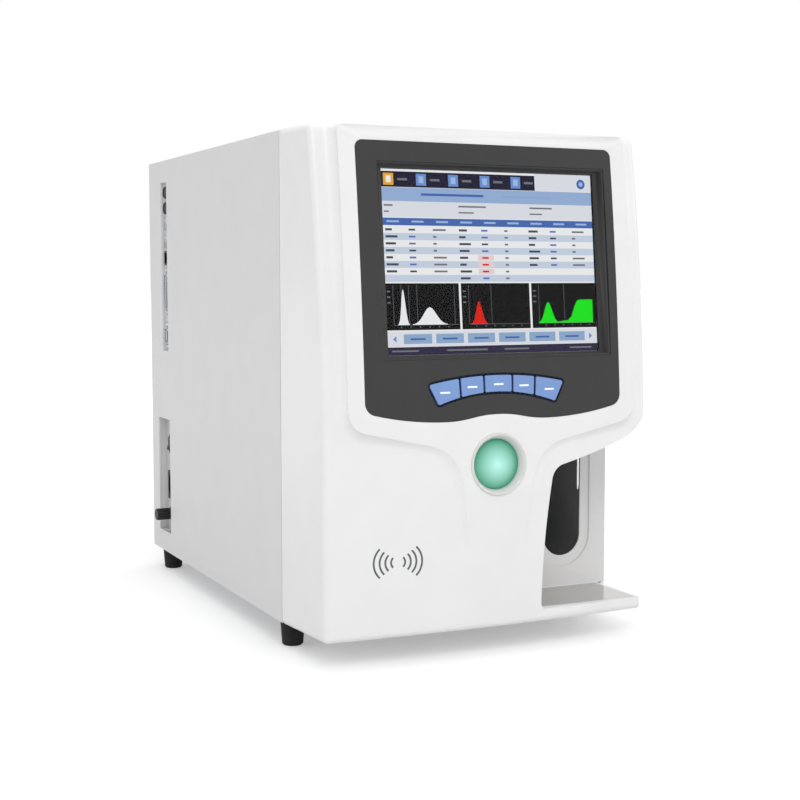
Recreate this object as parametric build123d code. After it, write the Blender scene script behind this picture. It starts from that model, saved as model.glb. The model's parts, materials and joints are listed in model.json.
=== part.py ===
from build123d import *
import math
import os

# Bench-top hematology analyzer, in millimetres. It is drawn in the cabinet's own frame:
# X to the operator's right, Y to the back from the seam behind the front moulding,
# Z up from the cabinet's floor, X = 0 on the cabinet's middle plane.
# At the end every piece is moved so that the origin is the bottom centre of the whole.

# Cabinet
case_width = 330.0
case_depth = 428.7
case_height = 440.0
cover_sheet = 1.5
seam_gap = 1.5
cover_gap = 0.3
post_leg = 12.0
rail_leg = 15.0
cover_return = 15.0
pan_vent_count = 9
side_vent_count = 12

# Feet
foot_height = 24.0
foot_top_radius = 11.5
foot_bottom_radius = 9.8
foot_edge = 1.6
foot_inset_x = 15.0
foot_front_y = 14.0
foot_rear_inset = 27.0
foot_recess_radius = 5.5
foot_recess_depth = 12.0

# Screws
screw_radius = 2.0
screw_head_radius = 3.6
screw_head_height = 2.4
screw_hole_clearance = 0.2
cover_screw_length = 7.0
foot_screw_length = 17.0
tab_screw_length = 10.0

# Front moulding
moulding_overlap = 2.0
moulding_wall = 3.5
moulding_draft = 1.8
corner_rounding = 6.0
rim_rounding = 6.0
bow_centre_y = 1676.6
bow_nose_y = -100.4
bow_half_angle = 7.0
lean_start_z = 118.0
lean_radius = 1754.0
tab_reach = 16.0
tab_width = 9.5
tab_height = 14.0

# Raised console on the moulding
console_nose_y = -105.2
console_low_z = 30.0
console_radius = 2930.0
console_half_width = 142.4
console_arm_z = 183.3
console_neck = (38.5, 164.6)
console_neck_slope = 0.175
console_shoulder_radius = 19.0
console_neck_radius = 40.0
console_foot_blend = 10.0
console_fade_z = 58.0
console_join_z = 128.0

# Display
bezel_half_width = 127.0
bezel_top_z = 427.0
bezel_side_z = 197.2
bezel_thickness = 1.8
bezel_top_corner = 7.0
bezel_bottom_corner = 11.0
bezel_lobe = (50.0, 186.8)
bezel_peak_z = 192.0
seat_clearance = 0.2
window_centre_x = 5.0
window_half_width = 113.7
window_low_z = 240.8
window_high_z = 409.6
glass_depth = 8.0
glass_thickness = 1.8
frame_wall = 2.0
view_width = 212.0
view_height = 161.0
panel_margin = 12.0
panel_thickness = 6.0
bracket_sheet = 1.5

# Function keys
well_half_width = 70.0
well_top_z = 228.0
well_low_z = 209.5
well_top_radius = 326.0
well_low_radius = 168.0
well_end_slant = 11.0
well_corner = 4.0
key_count = 5
key_gap = 2.0
key_travel = 1.0
key_height = 3.0
key_proud = 0.6
tray_floor = 1.5
tray_rim = 1.4
stem_radius = 1.8
board_thickness = 1.6

# Start button
start_z = 147.5
start_ring_radius = 27.5
start_cap_radius = 22.0
start_gap = 0.3
start_dish_depth = 5.0
start_travel = 3.0
start_dome = 3.5
start_barrel_depth = 22.0
start_barrel_wall = 3.3

# Sampling bay: each point is its distance in from the right side, and its height
left_foot_inset = (119.0, 12.6)
left_mid_inset = (114.8, 83.5)
left_top_inset = (106.4, 141.5)
roof_mid_inset = (60.0, 153.2)
roof_end_inset = (26.0, 164.3)
corner_mid_inset = (9.8, 177.0)
bay_corner_end_z = 206.0
bay_back_y = -21.0
bay_top_corner = 16.0
bay_foot_corner = 6.0
liner_wall = 2.5
liner_gap = 0.3
shelf_top_z = 12.6
shelf_plate = 3.0
shelf_end_inset = 9.0
tray_sheet = 1.2
tray_margin = 3.0
slot_inset = 49.2
slot_width = 41.0
slot_low_z = 42.3
slot_front_y = -66.0
scoop_depth = 1.2
scoop_width = 10.0

# Sampling probe and its carriage, measured in from the right side
probe_inset = 51.2
probe_y = -51.0
probe_tip_z = 111.6
probe_radius = 1.0
probe_length = 140.0
probe_travel = 130.0
probe_dip = 55.0
probe_raise = 20.0
running_gap = 0.05
rail_radius = 4.0
rail_inset = 27.5
rail_low_z = 196.0
rail_spacing = 50.0
rail_plate_thickness = 2.0
rail_block_length = 10.0
rail_stop_gap = 6.0
carriage_length = 40.0
carriage_clearance = 1.0
carriage_plate = 4.0
drive_screw_radius = 3.0
lift_screw_inset = 44.0
lift_guide_inset = 61.0
lift_axis_y = -30.0
lift_foot_z = 166.0
lift_foot_thickness = 6.0
lift_height = 134.0
holder_height = 14.0
holder_z = 232.0
rinse_size = 16.0
rinse_height = 20.0
motor_size = 28.0
motor_length = 32.0

# Recesses in the left cover
port_from_rear = 58.2
port_slot_width = 23.0
port_slot_low_z = 229.0
port_slot_high_z = 416.0
port_recess_depth = 3.0
port_standout = 1.0
d_port_standout = 2.5
port_body_depth = 16.0
power_from_rear = 48.9
power_recess_depth = 9.5
power_slot_width = 44.5
power_slot_low_z = 22.5
power_slot_high_z = 152.0
rocker_z = 122.0
inlet_z = 75.0
fuse_z = 42.6
rocker_radius = 8.8
rocker_width = 11.4
rocker_tilt = 7.0
rocker_crest = 4.6
fuse_cap_radius = 6.6
fuse_cap_length = 17.5
fuse_plug_radius = 4.4

# Electronics
supply_width = 105.0
supply_depth = 180.0
supply_height = 58.0
supply_gap = 14.0
board_height = 190.0
fan_size = 80.0
fan_depth = 25.0
fan_bore_radius = 37.5
fan_hub_radius = 16.0
fan_blade_count = 7
fan_x = -78.0
fan_z = 152.0
guard_wire = 1.2
guard_ring_count = 5
divider_inset = 145.0

# Fluidics
chamber_radius = 13.0
chamber_wall = 2.5
chamber_height = 52.0
chamber_spacing = 40.0
syringe_bore_radius = 5.0
syringe_wall = 1.4
syringe_length = 62.0
syringe_spacing = 30.0
syringe_stroke = 40.0
syringe_y = 215.0
syringe_base_z = 46.0
valve_count = 6
valve_pitch = 21.0
pump_radius = 17.0
pump_length = 62.0
bench_length = 190.0
bench_height = 90.0
bench_z = 250.0
fitting_count = 4
fitting_pitch = 32.0
fitting_radius = 3.0
fitting_tail = 14.0

half_width = case_width / 2
inner_x = half_width - cover_sheet
rear_inner_y = case_depth - cover_sheet
top_inner_z = case_height - cover_sheet
small_hole_radius = screw_radius + screw_hole_clearance
port_mid_y = case_depth - port_from_rear
power_mid_y = case_depth - power_from_rear
port_floor_x = -half_width + port_recess_depth
power_floor_x = -half_width + power_recess_depth
board_y = port_mid_y + 9.0
shelf_end_x = half_width - shelf_end_inset
slot_x = half_width - slot_inset
probe_x = half_width - probe_inset
rail_x = half_width - rail_inset
lift_screw_x = half_width - lift_screw_inset
lift_guide_x = half_width - lift_guide_inset
divider_x = half_width - divider_inset


def from_right_side(place):
    """Point of the front face whose distance in from the right side and height are given."""
    return half_width - place[0], place[1]


bay_left_foot = from_right_side(left_foot_inset)
bay_left_mid = from_right_side(left_mid_inset)
bay_left_top = from_right_side(left_top_inset)


def block(low, high):
    """Box between its lowest and its highest corner."""
    size = [b - a for a, b in zip(low, high)]
    middle = [(a + b) / 2 for a, b in zip(low, high)]
    return Pos(*middle) * Box(*size)


def rod(start, direction, radius, length):
    """Cylinder that starts at a point and runs along a direction."""
    base = Plane(origin=start, z_dir=direction)
    return base.location * Cylinder(radius, length, align=(Align.CENTER, Align.CENTER, Align.MIN))


def forward_prism(face, back_y, front_y):
    """Prism of an X-Z outline, from back_y forward to front_y."""
    return extrude(Plane.XZ.offset(-back_y) * face, amount=back_y - front_y)


def sideways_prism(face, low_x, high_x):
    """Prism of a Y-Z outline, from low_x to high_x."""
    return extrude(Plane.YZ.offset(low_x) * face, amount=high_x - low_x)


def closed_face(points):
    """Face inside a polygon of points."""
    return make_face(Polyline(*points, close=True))


def group(pieces):
    """Separate solids that share one node."""
    return Compound(children=[solid for piece in pieces for solid in piece.solids()])


# Surfaces of the front moulding
def console_y(z, depth=0.0):
    """Y of the console's face at a height, or of a surface some depth behind it."""
    rise = z - console_low_z
    return console_nose_y + console_radius - math.sqrt((console_radius - depth) ** 2 - rise ** 2)


def bow_y(z, inset=0.0):
    """Y of the bowed face on the middle plane, or of a surface inset behind it."""
    rise = max(0.0, z - lean_start_z)
    return bow_nose_y + lean_radius - math.sqrt((lean_radius - inset) ** 2 - rise ** 2)


def face_plane(x, z, depth=0.0):
    """Plane that touches the console's face at a height: x to the right, z out of the face."""
    tilt = math.asin((z - console_low_z) / console_radius)
    outward = Vector(0, -math.cos(tilt), math.sin(tilt))
    origin = Vector(x, console_y(z), z) - outward * depth
    return Plane(origin=origin, x_dir=(1, 0, 0), z_dir=outward)


def display_plane(depth=0.0):
    """Plane through the display window's middle, on the chord between its low and high edges."""
    low_y = console_y(window_low_z)
    high_y = console_y(window_high_z)
    rise = window_high_z - window_low_z
    tilt = math.atan2(high_y - low_y, rise)
    outward = Vector(0, -math.cos(tilt), math.sin(tilt))
    middle = Vector(window_centre_x, (low_y + high_y) / 2, (window_low_z + window_high_z) / 2)
    return Plane(origin=middle - outward * depth, x_dir=(1, 0, 0), z_dir=outward)


window_length = math.hypot(
    window_high_z - window_low_z, console_y(window_high_z) - console_y(window_low_z)
)
form_low_z = -40.0
form_high_z = case_height + 40.0


def bowed_body(inset):
    """Block whose front leans back along an arc in side view and is bowed in plan."""
    heights = (lean_start_z, (lean_start_z + form_high_z) / 2, form_high_z)
    lean = ThreePointArc(*[(bow_y(z, inset), z) for z in heights])
    foot = Line((bow_nose_y + inset, form_low_z), lean @ 0)
    back_y = 6.0
    roof = Line(lean @ 1, (back_y, form_high_z))
    back = Line(roof @ 1, (back_y, form_low_z))
    floor = Line(back @ 1, foot @ 0)
    side = Plane.YZ * make_face([foot, lean, roof, back, floor])
    axis = Axis((0, bow_centre_y, 0), (0, 0, 1))
    return revolve(side.rotate(axis, -bow_half_angle), axis=axis, revolution_arc=2 * bow_half_angle)


def drafted_wedge(inset):
    """Sides, top and bottom of the moulding, which close in towards the front."""
    height = case_height + 2 * moulding_overlap - 2 * inset
    outline = Pos(0, case_height / 2) * Rectangle(case_width - 2 * inset, height)
    return extrude(Plane.XZ * outline, amount=-console_nose_y + 10, taper=moulding_draft)


def console_outline(inset=0.0):
    """Outline of the raised console: a wide head on a tapering neck."""
    neck_x, neck_z = console_neck
    low_z = console_fade_z - 20
    low_x = neck_x - (neck_z - low_z) * console_neck_slope
    high_z = form_high_z + 20
    right = [(low_x, low_z), (neck_x, neck_z), (console_half_width, console_arm_z)]
    right.append((console_half_width, high_z))
    left = [(-x, z) for x, z in reversed(right)]
    outline = closed_face(right + left)
    shoulders = outline.vertices().filter_by_position(Axis.Y, console_arm_z - 0.1, console_arm_z + 0.1)
    outline = fillet(shoulders, console_shoulder_radius)
    necks = outline.vertices().filter_by_position(Axis.Y, neck_z - 0.1, neck_z + 0.1)
    outline = fillet(necks, console_neck_radius)
    if inset > 0:
        outline = offset(outline, amount=-inset)
    return outline


def behind_console_face(depth):
    """All that lies behind the console's curved face, down to where the neck fades out."""
    heights = (console_join_z, (console_join_z + form_high_z) / 2, form_high_z)
    face = ThreePointArc(*[(console_y(z, depth), z) for z in heights])
    fade = (bow_nose_y + 0.9 + depth, console_fade_z)
    back_y = 10.0
    edges = [
        face,
        Line(face @ 1, (back_y, form_high_z)),
        Line((back_y, form_high_z), (back_y, console_fade_z)),
        Line((back_y, console_fade_z), fade),
        Line(fade, face @ 0),
    ]
    return sideways_prism(make_face(edges), -half_width, half_width)


def console_slab(near, far, low_z=console_join_z, high_z=form_high_z):
    """Slab that follows the console's face between two depths behind it."""
    heights = (low_z, (low_z + high_z) / 2, high_z)
    front = ThreePointArc(*[(console_y(z, near), z) for z in heights])
    rear = ThreePointArc(*[(console_y(z, far), z) for z in heights])
    edges = [front, Line(front @ 1, rear @ 1), rear, Line(rear @ 0, front @ 0)]
    return sideways_prism(make_face(edges), -half_width, half_width)


def moulding_form():
    """Outer form of the front moulding, with the console blended into the bowed face."""
    body = bowed_body(0)
    prism = forward_prism(console_outline(), 0, console_nose_y - 35)
    joined = body + prism
    flat = (GeomType.LINE, GeomType.CIRCLE)
    foot = [
        edge
        for edge in new_edges(body, prism, combined=joined)
        if edge.geom_type not in flat and edge.center().Y < -30
    ]
    blended = fillet(foot, console_foot_blend)
    form = (body + (blended & behind_console_face(0))) & drafted_wedge(0)
    corners = [
        edge
        for edge in form.edges()
        if abs(edge.center().X) > half_width - 5
        and -60 < edge.center().Y < -20
        and (edge.center().Z < 5 or edge.center().Z > case_height - 5)
    ]
    form = fillet(corners, corner_rounding)
    return fillet(rim_edges(form), rim_rounding)


def rim_edges(form):
    """Edges where the moulding's sides and bottom meet its bowed face."""
    rim = []
    for edge in form.edges():
        points = [edge @ t for t in (0.02, 0.5, 0.98)]
        side = all(abs(p.X) > half_width - 10 and p.Y < -50 for p in points)
        low = all(p.Z < 8 and p.Y < bow_nose_y + 20.4 for p in points)
        if side or low:
            rim.append(edge)
    return rim


def moulding_hollow(inset):
    """Inner form of the moulding, open at the back."""
    core = forward_prism(console_outline(inset), 1, console_nose_y - 10) & behind_console_face(inset)
    back_opening = forward_prism(
        Pos(0, case_height / 2)
        * Rectangle(case_width - 2 * inset, case_height + 2 * moulding_overlap - 2 * inset),
        1,
        -0.001,
    )
    return (bowed_body(inset) + core) & (drafted_wedge(inset) + back_opening)


# Outlines that several pieces share
def bezel_outline(clearance=0.0):
    """Display surround: straight sides, rounded corners, and a lower edge with two lobes."""
    lobe_x, lobe_z = bezel_lobe
    middle_x, middle_z = lobe_x / 2, (lobe_z + bezel_peak_z) / 2
    crown = ThreePointArc((-middle_x, middle_z), (0, bezel_peak_z), (middle_x, middle_z))
    edges = [crown]
    for side in (-1, 1):
        lobe = (side * lobe_x, lobe_z)
        edges.append(TangentArc(lobe, (side * middle_x, middle_z), tangent=(-side, 0)))
        edges.append(TangentArc(lobe, (side * bezel_half_width, bezel_side_z), tangent=(side, 0)))
        edges.append(Line((side * bezel_half_width, bezel_side_z), (side * bezel_half_width, bezel_top_z)))
    edges.append(Line((-bezel_half_width, bezel_top_z), (bezel_half_width, bezel_top_z)))
    outline = make_face(edges)
    high = outline.vertices().sort_by(Axis.Y)[-2:]
    outline = fillet(high, bezel_top_corner)
    low = [v for v in outline.vertices() if abs(v.Y - bezel_side_z) < 0.1]
    outline = fillet(low, bezel_bottom_corner)
    return offset(outline, amount=clearance) if clearance else outline


def window_outline(clearance=0.0):
    """Display window in the surround, as an X-Z outline."""
    middle = (window_centre_x, (window_low_z + window_high_z) / 2)
    width = 2 * (window_half_width + clearance)
    height = window_high_z - window_low_z + 2 * clearance
    return Pos(*middle) * RectangleRounded(width, height, 2.0)


def well_outline(clearance=0.0):
    """Well of the function keys: two arcs, closed by slanted ends."""
    def arc_z(x, crown_z, radius):
        return crown_z - radius + math.sqrt(radius ** 2 - x ** 2)

    top_x = well_half_width
    low_x = well_half_width - well_end_slant
    top = ThreePointArc(
        (-top_x, arc_z(top_x, well_top_z, well_top_radius)),
        (0, well_top_z),
        (top_x, arc_z(top_x, well_top_z, well_top_radius)),
    )
    low = ThreePointArc(
        (low_x, arc_z(low_x, well_low_z, well_low_radius)),
        (0, well_low_z),
        (-low_x, arc_z(low_x, well_low_z, well_low_radius)),
    )
    outline = make_face([top, Line(top @ 1, low @ 0), low, Line(low @ 1, top @ 0)])
    outline = fillet(outline.vertices(), well_corner)
    return offset(outline, amount=clearance) if clearance else outline


def bay_outline(wall=0.0):
    """Opening of the sampling bay, which runs out past the right side."""
    left = ThreePointArc(bay_left_foot, bay_left_mid, bay_left_top)
    roof = ThreePointArc(left @ 1, from_right_side(roof_mid_inset), from_right_side(roof_end_inset))
    corner = ThreePointArc(roof @ 1, from_right_side(corner_mid_inset), (half_width + 1, bay_corner_end_z))
    far_x = half_width + 20
    out = Line(corner @ 1, (far_x, bay_corner_end_z + 20))
    down = Line(out @ 1, (far_x, shelf_top_z))
    floor = Line(down @ 1, left @ 0)
    outline = make_face([left, roof, corner, out, down, floor])
    outline = fillet(outline.vertices().sort_by_distance(left @ 1)[:1], bay_top_corner)
    outline = fillet(outline.vertices().sort_by_distance(left @ 0)[:1], bay_foot_corner)
    return offset(outline, amount=wall) if wall else outline


# Front moulding and what is set into it
def front_panel(form):
    """White front moulding: a hollow shell with the display seat, key opening and bay."""
    shell = form - moulding_hollow(moulding_wall)
    right_of_bay = block((shelf_end_x, bow_nose_y - 20, form_low_z), (half_width + 5, bay_back_y, shelf_top_z))
    shell -= forward_prism(bay_outline(), bay_back_y, console_nose_y - 10)
    shell -= right_of_bay
    shell -= wall_end(0.0, liner_gap)
    shell += shelf(form)
    seat = forward_prism(bezel_outline(seat_clearance), -40, console_nose_y - 10)
    shell -= seat & console_slab(-4, bezel_thickness, low_z=bezel_lobe[1] - 20)
    shell -= forward_prism(window_outline(seat_clearance), -20, console_nose_y - 10)
    shell -= forward_prism(well_outline(tray_rim + 2.5), -60, console_nose_y - 10)
    button = face_plane(0, start_z)
    shell -= button.offset(-20).location * Cylinder(
        start_cap_radius + start_gap + start_barrel_wall + seat_clearance, 60
    )
    shell -= button.location * Cylinder(
        start_ring_radius + seat_clearance, 1.4
    )
    for tab, hole in panel_tabs():
        shell = shell + tab - hole
    return shell


def panel_tab_places():
    """Side and height of each fixing tab."""
    heights = (30.0, case_height * 0.5, case_height - 30.0)
    return [(side, z) for side in (-1, 1) for z in heights]


def panel_tabs():
    """Fixing tabs inside the moulding, which reach back to the corner posts."""
    tabs = []
    for side, z in panel_tab_places():
        wall_x = side * (half_width - moulding_wall - 0.2)
        near_x = side * (half_width - moulding_wall - tab_width)
        low = (min(wall_x, near_x), -tab_reach, z - tab_height / 2)
        high = (max(wall_x, near_x), seam_gap, z + tab_height / 2)
        hole = rod((side * tab_screw_x(), seam_gap + 1, z), (0, -1, 0), small_hole_radius, tab_screw_length)
        tabs.append((block(low, high) & drafted_wedge_deep(), hole))
    return tabs


def drafted_wedge_deep():
    """Space inside the moulding's side walls, carried back over the seam."""
    inside = drafted_wedge(moulding_wall * 0.5)
    return inside + block((-inner_x + cover_gap, -1, 5), (inner_x - cover_gap, seam_gap, case_height - 5))


def tab_screw_x():
    """Distance of the fixing tabs' screws from the middle plane."""
    return inner_x - post_leg / 2


def shelf(form):
    """Floor of the sampling bay: a plate, an end wall and ribs above the moulding's bottom."""
    low = (bay_left_foot[0] - 6, console_nose_y - 5, form_low_z)
    high = (shelf_end_x, bay_back_y + moulding_wall, shelf_top_z)
    solid = form & block(low, high)
    inner_low = (bay_left_foot[0] - 7, bow_nose_y + 8, moulding_wall)
    inner_high = (shelf_end_x - moulding_wall, bay_back_y + moulding_wall + 1, shelf_top_z - shelf_plate)
    solid -= block(inner_low, inner_high)
    return solid - tray_recess(0.0, 0.0)


def wall_end(inset, behind):
    """Right end of the bay's back wall, where it covers the edge of the moulding's side."""
    outline = forward_prism(bay_outline(inset), bay_back_y + liner_wall + behind, bay_back_y - behind)
    near_x = half_width - 2.5 * moulding_wall
    return outline & block(
        (near_x, bay_back_y - 2 * liner_wall, shelf_top_z - inset), (half_width + 5, 0, case_height)
    )


def tray_recess(clearance, raised):
    """Shallow seat of the drip tray in the shelf."""
    low = (bay_left_foot[0] + 5 + clearance, bow_nose_y + 11 + clearance, shelf_top_z - tray_sheet)
    high = (shelf_end_x - tray_margin - clearance, bay_back_y - 1 - clearance, shelf_top_z + raised)
    return block(low, high)


def drip_tray():
    """Polished sheet in the bay's floor."""
    tray = tray_recess(seat_clearance, 0.0)
    return fillet(tray.edges().filter_by(Axis.Z), 3.0)


def sampling_bay_liner():
    """Bay walls: left wall, roof and a back wall with the probe's slot."""
    thick = forward_prism(bay_outline(liner_wall), bay_back_y + liner_wall, console_nose_y - 10)
    open_space = forward_prism(bay_outline(), bay_back_y, console_nose_y - 12)
    liner = thick - open_space
    room = moulding_hollow(moulding_wall + liner_gap)
    liner = liner & room
    liner &= block((0, console_nose_y, shelf_top_z), (half_width, bay_back_y + liner_wall, case_height))
    liner += wall_end(-liner_gap, 0.0) & drafted_wedge(0.0)
    liner -= probe_slot()
    scoop = sweep_scoop()
    return liner - scoop


def probe_slot():
    """Slot for the probe: up the back wall from a round end, then forward through the roof."""
    half = slot_width / 2
    low = slot_low_z + half
    wall_slot = Pos(slot_x, low) * Circle(half) + Pos(slot_x, low + 100) * Rectangle(slot_width, 200)
    through_wall = forward_prism(wall_slot, bay_back_y + liner_wall + 1, bay_back_y - 1)
    through_roof = block(
        (slot_x - half, slot_front_y, slot_low_z + 80), (slot_x + half, bay_back_y + 1, case_height / 2)
    )
    return through_wall + through_roof


def sweep_scoop():
    """Shallow hollow worn around the slot in the back wall's face."""
    half = slot_width / 2 + scoop_width
    low = slot_low_z - scoop_width + half
    outline = Pos(slot_x, low) * Circle(half) + Pos(slot_x, low + 100) * Rectangle(2 * half, 200)
    inside = forward_prism(outline, bay_back_y + scoop_depth, bay_back_y - 1)
    reach = block((0, bay_back_y - 2, shelf_top_z + 3), (half_width - 8, bay_back_y + 3, bay_left_top[1] - 2))
    return inside & reach


def display_bezel():
    """Dark display surround, which lies flush in the console's face."""
    plate = forward_prism(bezel_outline(), -40, console_nose_y - 10)
    plate &= console_slab(0, bezel_thickness, low_z=bezel_lobe[1] - 20)
    plate -= forward_prism(window_outline(), -20, console_nose_y - 10)
    return plate - forward_prism(well_outline(), -60, console_nose_y - 10)


def local_box(plane, width, height, near, far, corner=0.0):
    """Box square to a plane, from near to far behind it."""
    base = plane.offset(-far)
    outline = RectangleRounded(width, height, corner) if corner else Rectangle(width, height)
    return base.location * extrude(outline, amount=far - near)


def screen_frame():
    """Black frame that leads from the window's edge down to the screen's glass."""
    plane = display_plane()
    width = 2 * (window_half_width - seat_clearance)
    height = window_length - 2 * seat_clearance
    frame = local_box(plane, width, height, 0.4, glass_depth + glass_thickness, corner=2.2)
    frame -= local_box(plane, width - 2 * frame_wall, height - 2 * frame_wall, -1, glass_depth - 1.2)
    rebate = glass_size()
    frame -= local_box(plane, rebate[0] + 0.4, rebate[1] + 0.4, glass_depth, glass_depth + glass_thickness + 1)
    return frame - local_box(plane, view_width, view_height, 0, glass_depth + 5)


def glass_size():
    """Width and height of the touch glass, which sits inside the frame's rear rebate."""
    inside = 2 * (frame_wall / 2 + seat_clearance + 0.2)
    return 2 * window_half_width - inside - 1.0, window_length - inside - 1.0


def touch_glass():
    """Touch glass in front of the display panel."""
    width, height = glass_size()
    return local_box(display_plane(), width, height, glass_depth, glass_depth + glass_thickness)


def lcd_module():
    """Display panel: a metal-backed slab with a driver board along its lower edge."""
    near = glass_depth + glass_thickness
    width = 2 * window_half_width + panel_margin - 4
    slab = local_box(display_plane(), width, window_length + panel_margin / 2, near, near + panel_thickness)
    board = display_plane(near + panel_thickness)
    low = board.shift_origin(board.from_local_coords((0, -window_length / 2 + 16, 0)))
    return slab + local_box(low, width * 0.7, 20, 0, 3)


def display_bracket():
    """Sheet bracket that holds the display panel against the frame, on four spacers."""
    near = glass_depth + glass_thickness + panel_thickness
    width = 2 * window_half_width + panel_margin - 4
    height = window_length + panel_margin / 2
    plane = display_plane()
    plate = local_box(plane, width, height, near + 4, near + 4 + bracket_sheet)
    plate -= local_box(plane, width - 60, height - 60, near, near + 10)
    for side in (-1, 1):
        for end in (-1, 1):
            spot = plane.from_local_coords((side * (width / 2 - 10), end * (height / 2 - 12), -near - 4))
            plate += rod(spot, plane.z_dir, 4.0, 4.0)
    return plate


# Function keys
def key_plane():
    """Plane that touches the face at the middle of the key well."""
    return face_plane(0, (well_top_z + well_low_z) / 2)


def key_outlines():
    """Outlines of the keys: the well, less a rim, cut by slanted gaps into equal shares."""
    inner = well_outline(-key_gap)
    edges = (-36.9, -13.2, 15.0, 37.8)
    outlines = []
    bounds = [-well_half_width - 5, *edges, well_half_width + 5]
    for left, right in zip(bounds, bounds[1:]):
        lean = 0.03
        low_z, high_z = well_low_z - 20, well_top_z + 20
        mid_z = (well_low_z + well_top_z) / 2
        corners = [
            (left + key_gap / 2 - left * lean * (mid_z - low_z) / 20, low_z),
            (right - key_gap / 2 - right * lean * (mid_z - low_z) / 20, low_z),
            (right - key_gap / 2 - right * lean * (mid_z - high_z) / 20, high_z),
            (left + key_gap / 2 - left * lean * (mid_z - high_z) / 20, high_z),
        ]
        piece = inner & closed_face(corners)
        kept = [Vector(v) for v in inner.vertices()]
        cut = [v for v in piece.vertices() if min((Vector(v) - k).length for k in kept) > 0.01]
        outlines.append(fillet(cut, 1.2))
    return outlines


def key_slab(outline, near, far):
    """Prism of a key outline between two depths behind the key plane."""
    plane = key_plane()
    tall = forward_prism(outline, console_y(well_top_z) + 30, console_nose_y - 20)
    return tall & local_box(plane, 4 * well_half_width, 120, near, far)


def function_keys():
    """The keys, each with a stem that reaches the switch behind it."""
    plane = key_plane()
    keys = []
    for outline in key_outlines():
        cap = key_slab(outline, -key_proud, key_height - key_proud)
        cap = fillet(cap.faces().sort_by(Axis(plane.origin, plane.z_dir))[-1].edges(), 0.5)
        middle = outline.center()
        start = stem_start(middle)
        length = tray_floor_depth() + tray_floor + 0.5 - (key_height - key_proud)
        keys.append(cap + rod(start, -plane.z_dir, stem_radius, length))
    return keys


def stem_start(middle):
    """Point on a key's back face, behind the middle of its outline."""
    plane = key_plane()
    local = plane.to_local_coords(Vector(middle.X, plane.origin.Y, middle.Y))
    return plane.from_local_coords((local.X, local.Y, -(key_height - key_proud)))


def tray_floor_depth():
    """Depth of the key tray's floor: below a key pressed to its stop."""
    return key_height - key_proud + key_travel + 0.2


def keypad_tray():
    """Dark tray behind the keys, with a flange that meets the surround's back."""
    floor = tray_floor_depth()
    rim = key_slab(well_outline(-seat_clearance), 0.6, floor + tray_floor)
    rim -= key_slab(well_outline(-key_gap + 0.4), 0, floor)
    flange = key_slab(well_outline(tray_rim + 2), bezel_thickness + 0.15, floor + tray_floor)
    flange -= key_slab(well_outline(-seat_clearance - 0.5), 0, floor)
    tray = rim + flange
    for outline in key_outlines():
        start = stem_start(outline.center())
        tray -= rod(start, -key_plane().z_dir, stem_radius + 0.15, 20)
    return tray


def key_board():
    """Circuit board with one push switch behind each key."""
    plane = key_plane()
    near = tray_floor_depth() + tray_floor + 4.5
    board = local_box(plane, 2 * well_half_width, 26, near, near + board_thickness)
    stem_end = tray_floor_depth() + tray_floor + 0.5
    for outline in key_outlines():
        start = stem_start(outline.center())
        local = plane.to_local_coords(start)
        base = plane.from_local_coords((local.X, local.Y, -near))
        board += rod(base, plane.z_dir, 1.7, near - stem_end - key_travel - 0.1)
        case = Plane(origin=base, x_dir=(1, 0, 0), z_dir=plane.z_dir)
        board += case.location * Box(6, 6, 2, align=(Align.CENTER, Align.CENTER, Align.MIN))
    for side in (-1, 1):
        spot = plane.from_local_coords((side * (well_half_width - 3), 0, -near))
        board += rod(spot, plane.z_dir, 2.0, 4.5)
    return board


# Start button
def button_plane():
    """Plane that touches the face at the start button's centre."""
    return face_plane(0, start_z)


def turned(plane, points):
    """Solid of revolution about a plane's normal, from (radius, depth) points."""
    outline = closed_face([(radius, -depth) for radius, depth in points])
    spin = revolve(Plane.XZ * outline, axis=Axis.Z)
    return plane.location * spin


def start_button_ring():
    """Dished ring around the start button, with a barrel behind the moulding."""
    inner = start_cap_radius + start_gap
    barrel = inner + start_barrel_wall
    profile = [
        (inner, start_dish_depth),
        (start_ring_radius - 2.2, -0.9),
        (start_ring_radius - 0.8, -1.0),
        (start_ring_radius, 0.0),
        (start_ring_radius, 0.7),
        (barrel, 0.7),
        (barrel, start_barrel_depth),
        (inner, start_barrel_depth),
    ]
    return turned(button_plane(), profile)


def start_button():
    """Green start button with a domed face and a skirt that runs in the ring's barrel."""
    edge_depth = start_dish_depth + 0.5
    crown = edge_depth - start_dome
    sphere = (start_cap_radius ** 2 + start_dome ** 2) / (2 * start_dome)
    skirt = edge_depth + 9.0
    dome = ThreePointArc(
        (0, -crown),
        (start_cap_radius / 2, -crown - sphere + math.sqrt(sphere ** 2 - (start_cap_radius / 2) ** 2)),
        (start_cap_radius, -edge_depth),
    )
    inner = start_cap_radius - 1.8
    ceiling = edge_depth + 2.2
    rest = Polyline(
        (start_cap_radius, -edge_depth),
        (start_cap_radius, -skirt),
        (inner, -skirt),
        (inner, -ceiling),
        (4.0, -ceiling),
        (4.0, -ceiling - 4.0),
        (0, -ceiling - 4.0),
        (0, -crown),
    )
    face = make_face([dome, *rest.edges()])
    return button_plane().location * revolve(Plane.XZ * face, axis=Axis.Z)


def start_switch():
    """Lit push switch behind the start button, clipped to the ring's barrel."""
    plane = button_plane()
    outer = start_cap_radius + start_gap + start_barrel_wall
    near = start_barrel_depth
    body = turned(plane, [(0, near), (outer, near), (outer, near + 4), (12, near + 4), (12, near + 16), (0, near + 16)])
    plunger_top = start_dish_depth + 0.5 + 2.2 + 4.0 + start_travel + 0.3
    plunger = turned(plane, [(0, plunger_top), (3.5, plunger_top), (3.5, near), (0, near)])
    return body + plunger


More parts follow.
